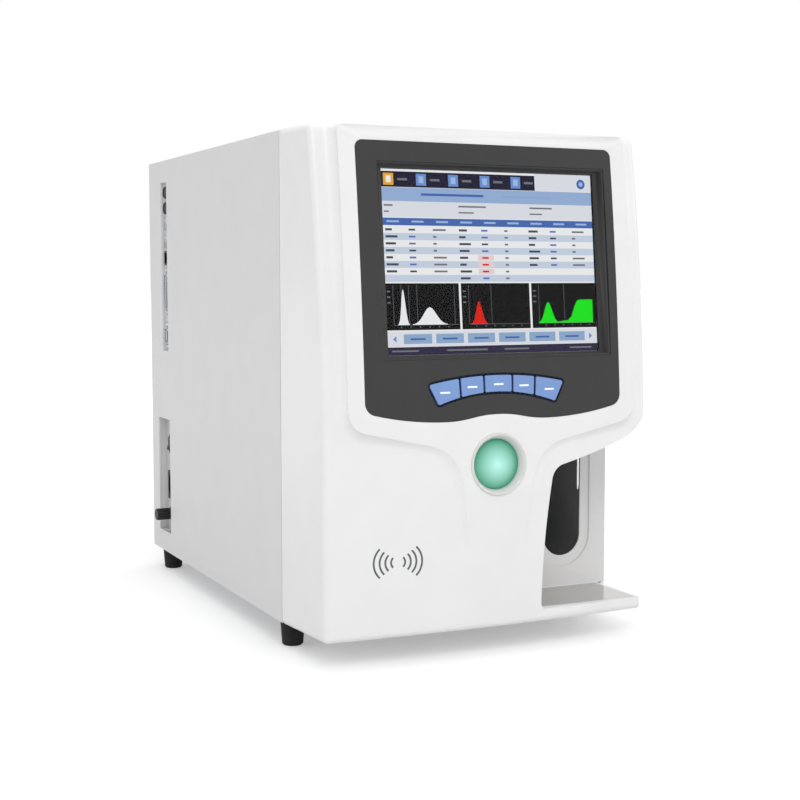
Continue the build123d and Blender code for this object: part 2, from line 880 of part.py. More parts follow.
def card_reader():
    """Antenna board of the card reader, on two bosses that end just behind the moulding."""
    board_front = bow_nose_y + moulding_wall + 9.2
    board_back = board_front + board_thickness
    board = block((-125, board_front, 42), (-66, board_back, 92))
    behind_moulding = moulding_hollow(moulding_wall + seat_clearance)
    for x in (-118, -73):
        board += rod((x, board_front + 0.5, 67), (0, -1, 0), 3.0, 15) & behind_moulding
    return board + block((-110, board_back, 55), (-85, board_back + 3, 80))


# Cabinet
def base_pan():
    """Floor sheet of the cabinet, with vents and the feet's screw holes."""
    pan = block((-inner_x, seam_gap, 0), (inner_x, rear_inner_y, cover_sheet))
    for x, y in foot_places():
        pan -= rod((x, y, -1), (0, 0, 1), small_hole_radius, cover_sheet + 2)
    for index in range(pan_vent_count):
        y = case_depth * 0.5 + (index - (pan_vent_count - 1) / 2) * 12
        pan -= block((-110, y - 2, -1), (-50, y + 2, cover_sheet + 1))
    return pan


def foot_places():
    """Middle of each foot."""
    x = half_width - foot_inset_x
    return [(sx * x, y) for y in (foot_front_y, case_depth - foot_rear_inset) for sx in (-1, 1)]


def rubber_feet():
    """Tapered rubber feet with a recess for the screw's head."""
    profile = [
        (small_hole_radius, 0),
        (foot_top_radius, 0),
        (foot_bottom_radius, foot_height - foot_edge),
        (foot_bottom_radius - foot_edge, foot_height),
        (foot_recess_radius, foot_height),
        (foot_recess_radius, foot_height - foot_recess_depth),
        (small_hole_radius, foot_height - foot_recess_depth),
    ]
    feet = [turned(Plane(origin=(x, y, 0)), profile) for x, y in foot_places()]
    return group(feet)


def pan_head_screw(head_at, direction, length):
    """Screw whose head's underside is at a point, with its shaft along a direction."""
    away = -Vector(*direction)
    head = rod(head_at, away, screw_head_radius, screw_head_height)
    head = fillet(head.faces().sort_by(Axis(head_at, away))[-1].edges(), 0.8)
    return head + rod(head_at, direction, screw_radius, length)


def rear_screw_places():
    """Screws through the side covers' rear returns and the rear panel's edges."""
    heights = (30.0, case_height / 2, case_height - 30.0)
    return [(side * (inner_x - post_leg / 2), z) for side in (-1, 1) for z in heights]


def assembly_screws():
    """All the machine screws: under the feet, in the tabs and in the rear edges."""
    screws = []
    for x, y in foot_places():
        seat_z = -(foot_height - foot_recess_depth)
        screws.append(pan_head_screw((x, y, seat_z), (0, 0, 1), foot_screw_length))
    for side, z in panel_tab_places():
        start = (side * tab_screw_x(), seam_gap + cover_sheet, z)
        screws.append(pan_head_screw(start, (0, -1, 0), tab_screw_length))
    for x, z in rear_screw_places():
        screws.append(pan_head_screw((x, case_depth, z), (0, -1, 0), cover_screw_length))
    return group(screws)


def inner_frame():
    """Corner posts and rails, folded from sheet, that carry the covers."""
    bars = []
    low_z, high_z = cover_sheet, top_inner_z
    post_front = seam_gap
    post_rear = rear_inner_y
    screw_holes = []
    for side, z in panel_tab_places():
        screw_holes.append(rod((side * tab_screw_x(), 0, z), (0, 1, 0), small_hole_radius, 8))
    for x, z in rear_screw_places():
        screw_holes.append(rod((x, case_depth - 8, z), (0, 1, 0), small_hole_radius, 9))
    for side in (-1, 1):
        for flat_y, toward in ((post_front, 1), (post_rear, -1)):
            outer_x = side * inner_x
            near_x = side * (inner_x - post_leg)
            leg_y = flat_y + toward * post_leg
            face_leg = block(
                (min(outer_x, near_x), min(flat_y, flat_y + toward * cover_sheet), low_z),
                (max(outer_x, near_x), max(flat_y, flat_y + toward * cover_sheet), high_z),
            )
            thin_x = side * (inner_x - cover_sheet)
            side_leg = block(
                (min(outer_x, thin_x), min(flat_y, leg_y), low_z),
                (max(outer_x, thin_x), max(flat_y, leg_y), high_z),
            )
            post = face_leg + side_leg
            for hole in screw_holes:
                post -= hole
            bars.append(post)
    for side in (-1, 1):
        for edge_z, toward in ((low_z, 1), (high_z, -1)):
            outer_x = side * inner_x
            flange_x = side * (inner_x - rail_leg)
            thin_x = side * (inner_x - cover_sheet)
            ends = (post_front + post_leg, post_rear - post_leg)
            z0, z1 = sorted((edge_z, edge_z + toward * cover_sheet))
            w0, w1 = sorted((edge_z, edge_z + toward * rail_leg))
            flat = block((min(outer_x, flange_x), ends[0], z0), (max(outer_x, flange_x), ends[1], z1))
            web = block((min(outer_x, thin_x), ends[0], w0), (max(outer_x, thin_x), ends[1], w1))
            rail = flat + web
            for x, y in foot_places():
                rail -= rod((x, y, 0), (0, 0, 1), small_hole_radius, 2 * cover_sheet + 1)
            bars.append(rail)
    for flat_y, toward in ((post_front, 1), (post_rear, -1)):
        for edge_z, rise in ((low_z, 1), (high_z, -1)):
            reach = inner_x - post_leg
            y0, y1 = sorted((flat_y, flat_y + toward * cover_sheet))
            z0, z1 = sorted((edge_z, edge_z + rise * rail_leg))
            bars.append(block((-reach, y0, z0), (reach, y1, z1)))
    return group(bars)


def side_cover(side):
    """Side cover: a flat sheet with a rear return that wraps round the back edge."""
    outer_x = side * half_width
    inner = side * inner_x
    low_x, high_x = sorted((outer_x, inner))
    sheet = block((low_x, seam_gap, 0), (high_x, case_depth, case_height))
    return_x = side * (half_width - cover_return)
    low_x, high_x = sorted((outer_x, return_x))
    sheet += block((low_x, rear_inner_y, 0), (high_x, case_depth, case_height))
    for x, z in rear_screw_places():
        if x * side > 0:
            sheet -= rod((x, rear_inner_y - 1, z), (0, 1, 0), small_hole_radius, cover_sheet + 2)
    return sheet


def left_side_cover():
    """Left cover, cut out for the ports and for the power entry."""
    cover = side_cover(-1)
    for depth, mid_y, width, low_z, high_z in recess_sizes():
        cover -= block(
            (-half_width - 1, mid_y - width / 2, low_z), (-half_width + depth, mid_y + width / 2, high_z)
        )
    return cover


def right_side_cover():
    """Right cover, with a field of vent slots low at the back."""
    cover = side_cover(1)
    slot_length = 60.0
    for row in range(side_vent_count):
        z = 60 + row * 9
        slot = Pos(case_depth - 110, z) * SlotOverall(slot_length, 3.5)
        cover -= sideways_prism(slot, inner_x - 1, half_width + 1)
    return cover


def recess_sizes():
    """Depth, middle, width and height range of the two recesses in the left cover."""
    return [
        (port_recess_depth, port_mid_y, port_slot_width, port_slot_low_z, port_slot_high_z),
        (power_recess_depth, power_mid_y, power_slot_width, power_slot_low_z, power_slot_high_z),
    ]


def top_cover():
    """Top sheet, which lies between the side covers on the frame's rails."""
    reach = inner_x - cover_gap
    return block((-reach, seam_gap, top_inner_z), (reach, rear_inner_y - cover_gap, case_height))


def rear_panel():
    """Rear sheet with the fan's opening, vents and holes for the reagent fittings."""
    reach = half_width - cover_return - cover_gap
    panel = block((-reach, rear_inner_y, 0), (reach, case_depth, case_height))
    panel -= rod((fan_x, rear_inner_y - 1, fan_z), (0, 1, 0), fan_bore_radius, cover_sheet + 2)
    for x, z in fitting_places():
        panel -= rod((x, rear_inner_y - 1, z), (0, 1, 0), fitting_body_radius(), cover_sheet + 2)
    for x, z in fan_screw_places():
        panel -= rod((x, rear_inner_y - 1, z), (0, 1, 0), small_hole_radius, cover_sheet + 2)
    for row in range(8):
        slot = Pos(-fan_x, 300 + row * 10) * SlotOverall(70, 4)
        panel -= forward_prism(slot, case_depth + 1, rear_inner_y - 1)
    return panel


def recess_box(depth, mid_y, width, low_z, high_z):
    """Box folded from sheet behind a cut-out of the left cover, open to the left."""
    floor_x = -half_width + depth
    half = width / 2
    outer = block(
        (-inner_x, mid_y - half - cover_sheet, low_z - cover_sheet),
        (floor_x + cover_sheet, mid_y + half + cover_sheet, high_z + cover_sheet),
    )
    return outer - block((-inner_x - 1, mid_y - half, low_z), (floor_x, mid_y + half, high_z))


# Ports on the left
def port_rows():
    """Middle height of each port, from the top down, as names to heights."""
    return {
        "round_high": 405.0,
        "round_low": 387.8,
        "usb_high": 371.2,
        "usb_low": 351.8,
        "network": 332.6,
        "wide": 295.5,
        "narrow": 246.3,
    }


def port_block(z, width, height, standout=port_standout, depth=port_body_depth):
    """Housing of a port: height across the board, width along it."""
    low = (port_floor_x - standout, port_mid_y - height / 2, z - width / 2)
    high = (port_floor_x + depth, port_mid_y + height / 2, z + width / 2)
    return block(low, high)


def port_foot(z, width, height, depth=port_body_depth):
    """Foot that joins a port's housing to the main board."""
    low = (port_floor_x + cover_sheet + 0.5, port_mid_y + height / 2 - 0.5, z - width / 2 + 0.5)
    return block(low, (port_floor_x + depth, board_y, z + width / 2 - 0.5))


def round_port(z):
    """Round keyboard or mouse socket with its contact holes."""
    body = rod((port_floor_x - 2, port_mid_y, z), (1, 0, 0), 6.6, port_body_depth + 2)
    body -= rod((port_floor_x - 2.01, port_mid_y, z), (1, 0, 0), 5.2, 1.2)
    core = rod((port_floor_x - 1.2, port_mid_y, z), (1, 0, 0), 4.6, 3)
    body += core
    for index in range(6):
        angle = math.radians(30 + index * 60)
        hole_y = port_mid_y + 3.0 * math.cos(angle)
        hole_z = z + 3.0 * math.sin(angle)
        body -= rod((port_floor_x - 1.3, hole_y, hole_z), (1, 0, 0), 0.6, 3)
    return body + port_foot(z, 12, 12)


def usb_port(z):
    """Stacked pair of USB sockets with their tongues."""
    width, height = 14.0, 15.6
    body = port_block(z, width, height)
    for side in (-1, 1):
        mid_y = port_mid_y + side * 3.9
        mouth = block(
            (port_floor_x - 2, mid_y - 2.6, z - 6.2), (port_floor_x + 9, mid_y + 2.6, z + 6.2)
        )
        tongue = block((port_floor_x - 0.4, mid_y + 0.2, z - 5.2), (port_floor_x + 10, mid_y + 1.8, z + 5.2))
        body = body - mouth + tongue
    return body + port_foot(z, width, height)


def network_socket():
    """Network socket with its latch notch and contacts."""
    z = port_rows()["network"]
    width, height = 15.6, 14.0
    body = port_block(z, width, height)
    mouth = block((port_floor_x - 2, port_mid_y - 2.8, z - 5.9), (port_floor_x + 11, port_mid_y + 5.2, z + 5.9))
    notch = block((port_floor_x - 2, port_mid_y - 5.4, z - 3.2), (port_floor_x + 8, port_mid_y - 2, z + 3.2))
    body = body - mouth - notch
    for index in range(8):
        contact_z = z + (index - 3.5) * 1.27
        body += block(
            (port_floor_x + 2, port_mid_y + 4.0, contact_z - 0.25),
            (port_floor_x + 11.5, port_mid_y + 5.4, contact_z + 0.25),
        )
    return body + port_foot(z, width, height)


def d_shape(width, height):
    """Outline of a D-shaped shell in Y-Z, longer on the side away from the board."""
    long_half = width / 2
    short_half = long_half - height * 0.18
    points = [
        (-height / 2, -long_half),
        (-height / 2, long_half),
        (height / 2, short_half),
        (height / 2, -short_half),
    ]
    outline = closed_face(points)
    return fillet(outline.vertices(), 1.6)


def d_port_width():
    """Height of a D-shaped shell across the recess."""
    return 8.3


def jack_screw_places(z, flange_length):
    """Heights of the two jack screws beside a D-shaped shell."""
    return [z + end * (flange_length / 2 - 3.2) for end in (-1, 1)]


def d_port(z, flange_length, shell_width, pins):
    """D-shaped port: flange behind the sheet, shell, contact field and two jack screws."""
    centre = Pos(port_mid_y, z)
    shell_height = d_port_width()
    mouth_x = port_floor_x - d_port_standout
    flange_x = port_floor_x + cover_sheet + seat_clearance
    flange = block(
        (flange_x, port_mid_y - 6.2, z - flange_length / 2),
        (flange_x + 0.8, port_mid_y + 6.2, z + flange_length / 2),
    )
    body = sideways_prism(centre * d_shape(shell_width, shell_height), mouth_x, flange_x + 0.4)
    hollow = sideways_prism(
        centre * d_shape(shell_width - 1.2, shell_height - 1.2), mouth_x - 1, flange_x - 0.5
    )
    core = sideways_prism(
        centre * d_shape(shell_width - 2.2, shell_height - 2.2), mouth_x + 0.7, flange_x + 0.4
    )
    port = flange + (body - hollow) + core
    long_row = (pins + 1) // 2
    for row, count in ((-1, long_row), (1, pins - long_row)):
        for index in range(count):
            pin_z = z + (index - (count - 1) / 2) * 2.76
            port -= rod((mouth_x, port_mid_y + row * 1.42, pin_z), (1, 0, 0), 0.55, 3)
    for nut_z in jack_screw_places(z, flange_length):
        port += sideways_prism(Pos(port_mid_y, nut_z) * RegularPolygon(2.8, 6), port_floor_x - 2, flange_x + 0.4)
    rear = block(
        (flange_x + 0.4, port_mid_y - 5, z - shell_width / 2),
        (port_floor_x + port_body_depth, board_y, z + shell_width / 2),
    )
    return port + rear


def port_window(z, width, height):
    """Opening in the recess's floor for a square-cornered port."""
    return block(
        (port_floor_x - 1, port_mid_y - height / 2 - seat_clearance, z - width / 2 - seat_clearance),
        (port_floor_x + 3, port_mid_y + height / 2 + seat_clearance, z + width / 2 + seat_clearance),
    )


def port_recess():
    """Recess box of the ports, with an opening for each of them."""
    box = recess_box(*recess_sizes()[0])
    rows = port_rows()
    gap = seat_clearance
    for name in ("round_high", "round_low"):
        box -= rod((port_floor_x - 1, port_mid_y, rows[name]), (1, 0, 0), 6.6 + gap, 4)
    for name in ("usb_high", "usb_low"):
        box -= port_window(rows[name], 14.0, 15.6)
    box -= port_window(rows["network"], 15.6, 14.0)
    for name, flange_length, shell_width in (("wide", 53.0, 38.5), ("narrow", 30.8, 16.5)):
        shell = d_shape(shell_width + 2 * gap, d_port_width() + 2 * gap)
        box -= sideways_prism(Pos(port_mid_y, rows[name]) * shell, port_floor_x - 1, port_floor_x + 3)
        for nut_z in jack_screw_places(rows[name], flange_length):
            box -= rod((port_floor_x - 1, port_mid_y, nut_z), (1, 0, 0), 3.0, 4)
    return box


def main_board():
    """Main board behind the ports, on four spacers from the rear panel."""
    low_z = port_slot_low_z - 4
    high_z = low_z + board_height
    right_x = divider_x - 12
    board = block((port_floor_x + cover_sheet + 1, board_y, low_z), (right_x, board_y + board_thickness, high_z))
    for x in (port_floor_x + 14, right_x - 8):
        for z in (low_z + 10, high_z - 10):
            spot = (x, board_y + board_thickness, z)
            board += rod(spot, (0, 1, 0), 3.0, rear_inner_y - board_y - board_thickness)
    processor = block((-90, board_y - 6, low_z + 95), (-50, board_y, low_z + 135))
    for index in range(7):
        fin_x = -89 + index * 6
        processor += block((fin_x, board_y - 14, low_z + 96), (fin_x + 2, board_y - 6, low_z + 134))
    memory = block((-40, board_y - 4, low_z + 75), (-32, board_y, low_z + 165))
    headers = block((-120, board_y - 8, low_z + 7), (-60, board_y, low_z + 15))
    return board + processor + memory + headers


# Power entry
def power_recess():
    """Recess box of the power entry, with its three openings."""
    box = recess_box(*recess_sizes()[1])
    gap = seat_clearance
    for z, width, height in ((rocker_z, 13.0, 19.0), (inlet_z, 20.0, 27.0)):
        box -= block(
            (power_floor_x - 1, power_mid_y - width / 2 - gap, z - height / 2 - gap),
            (power_floor_x + 3, power_mid_y + width / 2 + gap, z + height / 2 + gap),
        )
    return box - rod((power_floor_x - 1, power_mid_y, fuse_z), (1, 0, 0), 6.0 + gap, 4)


def power_switch_body():
    """Housing of the power switch, with a round-backed pocket for its rocker."""
    flange = block(
        (power_floor_x - 2, power_mid_y - 7.5, rocker_z - 10.5),
        (power_floor_x, power_mid_y + 7.5, rocker_z + 10.5),
    )
    body = block(
        (power_floor_x, power_mid_y - 6.5, rocker_z - 9.5),
        (power_floor_x + 16, power_mid_y + 6.5, rocker_z + 9.5),
    )
    pocket = rod(
        (rocker_pivot_x(), power_mid_y - rocker_width / 2 - 0.3, rocker_z),
        (0, 1, 0),
        rocker_radius + 0.3,
        rocker_width + 0.6,
    )
    switch = flange + body - pocket
    for index in range(2):
        z = rocker_z - 5 + index * 10
        switch += block((power_floor_x + 16, power_mid_y - 3, z - 0.4), (power_floor_x + 24, power_mid_y + 3, z + 0.4))
    return switch


def rocker_pivot_x():
    """The rocker turns about a line just behind the switch's flange."""
    return power_floor_x + 0.8


def power_rocker():
    """Rocker: a round back and a shallow V in front, shown switched off."""
    cheeks = Circle(rocker_radius)
    slope = math.tan(math.radians(rocker_tilt))
    reach = rocker_radius + 2
    end = -rocker_crest - reach * slope
    front = closed_face([(-rocker_crest, 0), (end, reach), (reach, reach), (reach, -reach), (end, -reach)])
    outline = cheeks & front
    lever = extrude(Plane.XZ.offset(-rocker_width / 2) * outline, amount=rocker_width)
    lever = lever.rotate(Axis.Y, rocker_tilt)
    return Pos(rocker_pivot_x(), power_mid_y, rocker_z) * lever


def mains_inlet():
    """Mains inlet with three blades in a cavity that has two cut corners."""
    flange = block(
        (power_floor_x - 2.5, power_mid_y - 12, inlet_z - 16), (power_floor_x, power_mid_y + 12, inlet_z + 16)
    )
    body = block(
        (power_floor_x, power_mid_y - 10, inlet_z - 13.5), (power_floor_x + 22, power_mid_y + 10, inlet_z + 13.5)
    )
    corners = [(-8.2, -12.2), (8.2, -12.2), (8.2, 12.2), (-8.2, 12.2)]
    cavity = closed_face(corners)
    cut = [v for v in cavity.vertices() if v.X > 0]
    cavity = chamfer(cut, 4.2)
    inlet = flange + body - sideways_prism(Pos(power_mid_y, inlet_z) * cavity, power_floor_x - 3, power_floor_x + 14)
    for y, z in ((0, 0), (2.0, 7.0), (2.0, -7.0)):
        y = y - 2.0 if z == 0 else y
        inlet += block(
            (power_floor_x + 3, power_mid_y + y - 2.0, inlet_z + z - 1.0),
            (power_floor_x + 14.5, power_mid_y + y + 2.0, inlet_z + z + 1.0),
        )
    for index in range(3):
        z = inlet_z + (index - 1) * 7
        inlet += block((power_floor_x + 22, power_mid_y - 3, z - 0.4), (power_floor_x + 29, power_mid_y + 3, z + 0.4))
    return inlet


def fuse_holder():
    """Fuse holder: a hexagonal collar outside and a barrel behind the recess's floor."""
    collar = sideways_prism(
        Pos(power_mid_y, fuse_z) * RegularPolygon(8.6, 6), power_floor_x - 2.5, power_floor_x
    )
    barrel = rod((power_floor_x, power_mid_y, fuse_z), (1, 0, 0), 6.0, 30)
    bore = rod((power_floor_x - 3, power_mid_y, fuse_z), (1, 0, 0), fuse_plug_radius + running_gap, 24)
    return collar + barrel - bore


def fuse_cap():
    """Fuse cap: a fluted knob with a screwdriver slot, and the plug behind it."""
    start_x = power_floor_x - 2.8
    knob = rod((start_x, power_mid_y, fuse_z), (-1, 0, 0), fuse_cap_radius, fuse_cap_length)
    tip = knob.faces().sort_by(Axis.X)[0]
    knob = chamfer(tip.edges(), 1.0)
    for index in range(12):
        angle = math.radians(index * 30)
        groove_y = power_mid_y + (fuse_cap_radius + 0.5) * math.cos(angle)
        groove_z = fuse_z + (fuse_cap_radius + 0.5) * math.sin(angle)
        knob -= rod((start_x - 4, groove_y, groove_z), (-1, 0, 0), 1.1, fuse_cap_length)
    slot_x = start_x - fuse_cap_length
    knob -= block((slot_x - 1, power_mid_y - 0.9, fuse_z - 8), (slot_x + 1.8, power_mid_y + 0.9, fuse_z + 8))
    return knob + rod((start_x, power_mid_y, fuse_z), (1, 0, 0), fuse_plug_radius, 20)


def power_supply():
    """Power supply: a box on the base pan with vent slots in its lid."""
    right_x = divider_x - supply_gap
    low_y = case_depth * 0.5 - supply_depth / 2 - 30
    left_x = right_x - supply_width
    box = block((left_x, low_y, cover_sheet), (right_x, low_y + supply_depth, cover_sheet + supply_height))
    for row in range(10):
        y = low_y + 20 + row * 14
        box -= block((left_x + 15, y, cover_sheet + supply_height - 2), (right_x - 15, y + 5, cover_sheet + supply_height + 1))
    terminals = block(
        (left_x + 10, low_y + supply_depth, cover_sheet + 8), (right_x - 10, low_y + supply_depth + 12, cover_sheet + 22)
    )
    return box + terminals


# Fan
def fan_screw_places():
    """Corners of the fan's fixing holes."""
    reach = fan_size / 2 - 4.25
    return [(fan_x + sx * reach, fan_z + sz * reach) for sx in (-1, 1) for sz in (-1, 1)]


def fan_housing():
    """Fan housing: a square frame, a round duct, and four arms that carry the hub."""
    front_y = rear_inner_y - fan_depth
    outline = Pos(fan_x, fan_z) * RectangleRounded(fan_size, fan_size, 4)
    housing = forward_prism(outline, rear_inner_y, front_y)
    housing -= forward_prism(Pos(fan_x, fan_z) * Circle(fan_bore_radius), rear_inner_y + 1, front_y - 1)
    for x, z in fan_screw_places():
        housing -= rod((x, front_y - 1, z), (0, 1, 0), small_hole_radius, fan_depth + 2)
    hub = rod((fan_x, front_y, fan_z), (0, 1, 0), fan_hub_radius, 4)
    for angle in (45, 135, 225, 315):
        arm = Pos(0, 0, fan_bore_radius / 2 + 5) * Box(5, 3, fan_bore_radius - 6)
        hub += Pos(fan_x, front_y + 1.5, fan_z) * (Rot(0, angle, 0) * arm)
    hub += rod((fan_x, front_y + 4, fan_z), (0, 1, 0), 3.4, 10)
    hub -= rod((fan_x, front_y + 3, fan_z), (0, 1, 0), 1.5 + running_gap, 13)
    return housing + hub


def fan_impeller():
    """Fan rotor: a cup over the bearing, with swept blades."""
    front_y = rear_inner_y - fan_depth + 5
    cup = rod((fan_x, front_y, fan_z), (0, 1, 0), fan_hub_radius, 16)
    cup -= rod((fan_x, front_y - 1, fan_z), (0, 1, 0), fan_hub_radius - 2, 14)
    cup += rod((fan_x, front_y + 0.5, fan_z), (0, 1, 0), 1.5, 14)
    blade_span = fan_bore_radius - 1.0
    rotor = cup
    for index in range(fan_blade_count):
        low = Plane.XY.offset(fan_hub_radius - 0.8) * Pos(0, 8) * Rot(0, 0, 52) * Rectangle(1.6, 17)
        high = Plane.XY.offset(blade_span) * Pos(-6, 8) * Rot(0, 0, 38) * Rectangle(1.4, 17)
        blade = loft([low, high])
        turn = Rot(0, index * 360 / fan_blade_count, 0)
        rotor += Pos(fan_x, front_y, fan_z) * (turn * blade)
    limit = rod((fan_x, front_y + 0.2, fan_z), (0, 1, 0), blade_span, 18)
    return rotor & limit + rod((fan_x, front_y, fan_z), (0, 1, 0), 2, 1)


def fan_guard():
    """Wire guard over the fan's opening: rings on two crossed wires with four eyes."""
    plane_y = case_depth + guard_wire / 2
    wires = []
    spacing = (fan_bore_radius - 4) / guard_ring_count
    for index in range(guard_ring_count):
        radius = 4 + spacing * (index + 1)
        ring = Plane(origin=(fan_x, plane_y + guard_wire, fan_z), z_dir=(0, 1, 0)).location * Torus(radius, guard_wire / 2)
        wires.append(ring)
    reach = fan_size / 2 - 4.25
    for x, z in fan_screw_places():
        eye = rod((x, case_depth, z), (0, 1, 0), 3.4, 1.2)
        eye -= rod((x, case_depth - 1, z), (0, 1, 0), screw_radius + screw_hole_clearance, 4)
        wires.append(eye)
    for sign in (-1, 1):
        start = Vector(fan_x - reach + 2.2, case_depth + 0.7, fan_z - sign * (reach - 2.2))
        end = Vector(fan_x + reach - 2.2, case_depth + 0.7, fan_z + sign * (reach - 2.2))
        wires.append(rod(start, (end - start).normalized(), guard_wire / 2, (end - start).length))
    guard = wires[0]
    for wire in wires[1:]:
        guard += wire
    return guard


# Reagents
def fitting_places():
    """Middle of each reagent fitting on the rear panel."""
    return [(110.0, 60.0 + index * fitting_pitch) for index in range(fitting_count)]


def fitting_body_radius():
    """Radius of the threaded body that passes through the rear panel."""
    return fitting_radius + 2.5


def reagent_fittings():
    """Bulkhead fittings: hexagonal nut, flange and a hose tail outside, a short tail inside."""
    fittings = []
    body = fitting_body_radius()
    inner_tail = fitting_radius - 0.4
    for x, z in fitting_places():
        axis_plane = Plane(origin=(x, case_depth, z), z_dir=(0, 1, 0))
        profile = [
            (1.6, -24.0),
            (fitting_radius, -24.0),
            (fitting_radius, -10.0),
            (body, -10.0),
            (body, -4.0),
            (body + 3.0, -4.0),
            (body + 3.0, 0.0),
            (body - 0.1, 0.0),
            (body - 0.1, 12.0),
            (inner_tail, 12.0),
            (inner_tail, 22.0),
            (1.6, 22.0),
        ]
        fitting = turned(axis_plane, profile)
        nut = forward_prism(Pos(x, z) * RegularPolygon(body + 4, 6), rear_inner_y, rear_inner_y - 4)
        nut -= rod((x, rear_inner_y - 5, z), (0, 1, 0), body - 0.2, 6)
        fittings.append(fitting + nut)
    return group(fittings)


# Sampling probe drive
def rail_span():
    """Front and back faces of the stretch that the carriage slides along."""
    front = carriage_front_y() - rail_stop_gap
    back = carriage_front_y() + carriage_length + probe_travel + rail_stop_gap
    return front, back


def carriage_front_y():
    """Front face of the carriage at rest."""
    return lift_axis_y - 16.0


def rail_plate_x():
    """Near face of the rail plate, which meets the right front post's edge."""
    return inner_x - post_leg - rail_plate_thickness


def probe_rail_frame():
    """Side plate with two end blocks that carry the carriage's rods and screw."""
    front, back = rail_span()
    low_z = rail_low_z - 14
    high_z = rail_low_z + rail_spacing + 14
    near_x = rail_plate_x()
    plate = block(
        (near_x, front - rail_block_length, low_z), (near_x + rail_plate_thickness, back + rail_block_length, high_z)
    )
    plate -= block((near_x - 1, front + 15, low_z + 22), (near_x + 5, back - 15, high_z - 22))
    frame = plate
    for y in (front - rail_block_length, back):
        frame += block((rail_x - 9, y, low_z), (near_x, y + rail_block_length, high_z))
    for z in (rail_low_z, rail_low_z + rail_spacing):
        frame += rod((rail_x, front - 1, z), (0, 1, 0), rail_radius, back - front + 2)
    screw_z = rail_low_z + rail_spacing / 2
    frame -= rod((rail_x, front - 6, screw_z), (0, 1, 0), drive_screw_radius + running_gap, 7)
    frame -= rod((rail_x, back - 1, screw_z), (0, 1, 0), drive_screw_radius + running_gap, rail_block_length + 2)
    return frame


def traverse_screw():
    """Screw that drives the carriage back and forth."""
    front, back = rail_span()
    screw_z = rail_low_z + rail_spacing / 2
    return rod(
        (rail_x, front - 5.7, screw_z), (0, 1, 0), drive_screw_radius, back + rail_block_length - front + 5.4
    )


def stepper(start, direction):
    """Square stepper motor whose face is at a point, with a boss for its bearing."""
    base = Plane(origin=start, x_dir=(1, 0, 0) if direction[0] == 0 else (0, 1, 0), z_dir=direction)
    body = base.location * extrude(RectangleRounded(motor_size, motor_size, 3), amount=motor_length)
    band = base.location * extrude(
        Rectangle(motor_size + 1, motor_size + 1) - Rectangle(motor_size - 1.4, motor_size - 1.4), amount=8
    )
    return body - Pos(*(Vector(*direction) * (motor_length / 2 - 4))) * band


def traverse_motor():
    """Motor of the traverse, behind the rear end block."""
    back = rail_span()[1]
    return stepper((rail_x, back + rail_block_length, rail_low_z + rail_spacing / 2), (0, 1, 0))


def probe_carriage():
    """Carriage on the rods, with the lift's back plate, foot and head."""
    front = carriage_front_y()
    right_x = rail_plate_x() - carriage_clearance
    left_x = lift_guide_x - 6
    slider = block(
        (rail_x - 9, front, rail_low_z - 9), (right_x, front + carriage_length, rail_low_z + rail_spacing + 9)
    )
    plate_y = lift_axis_y + 9
    top_z = lift_foot_z + lift_height
    carriage = slider + block((left_x, plate_y, lift_foot_z), (rail_x - 9, plate_y + carriage_plate, top_z))
    front_foot = probe_y - 7
    carriage += block((left_x, front_foot, lift_foot_z), (rail_x - 9, plate_y, lift_foot_z + lift_foot_thickness))
    head = block((left_x, lift_axis_y - 8, top_z - 5), (rail_x - 9, plate_y, top_z))
    carriage += head
    span = top_z - lift_foot_z - 3
    carriage += rod((lift_guide_x, lift_axis_y, lift_foot_z + 2), (0, 0, 1), 2.5, span)
    for z in (rail_low_z, rail_low_z + rail_spacing):
        carriage -= rod((rail_x, front - 1, z), (0, 1, 0), rail_radius + running_gap, carriage_length + 2)
    screw_z = rail_low_z + rail_spacing / 2
    carriage -= rod((rail_x, front - 1, screw_z), (0, 1, 0), drive_screw_radius + running_gap, carriage_length + 2)
    carriage -= rod((lift_screw_x, lift_axis_y, lift_foot_z + 2), (0, 0, 1), drive_screw_radius + running_gap, lift_height)
    return carriage - rod((probe_x, probe_y, lift_foot_z - 1), (0, 0, 1), probe_radius + 0.6, lift_foot_thickness + 2)


def rinse_block():
    """Rinse block under the carriage's foot: the probe is washed as it is drawn up."""
    half = rinse_size / 2
    top = lift_foot_z
    body = block((probe_x - half, probe_y - half, top - rinse_height), (probe_x + half, probe_y + half, top))
    body = fillet(body.edges().filter_by(Axis.Z), 2.0)
    for z in (top - 6, top - 14):
        body += rod((probe_x + half, probe_y, z), (1, 0, 0), 1.6, 5)
    return body - rod((probe_x, probe_y, top - rinse_height - 1), (0, 0, 1), probe_radius + 0.6, rinse_height + 2)


def lift_motor():
    """Motor of the lift, on the carriage's head."""
    return stepper((lift_screw_x, lift_axis_y, lift_foot_z + lift_height), (0, 0, 1))


def lift_screw():
    """Screw of the lift, between the carriage's foot and head."""
    low = lift_foot_z + 2.3
    return rod((lift_screw_x, lift_axis_y, low), (0, 0, 1), drive_screw_radius, lift_height - 2.6)


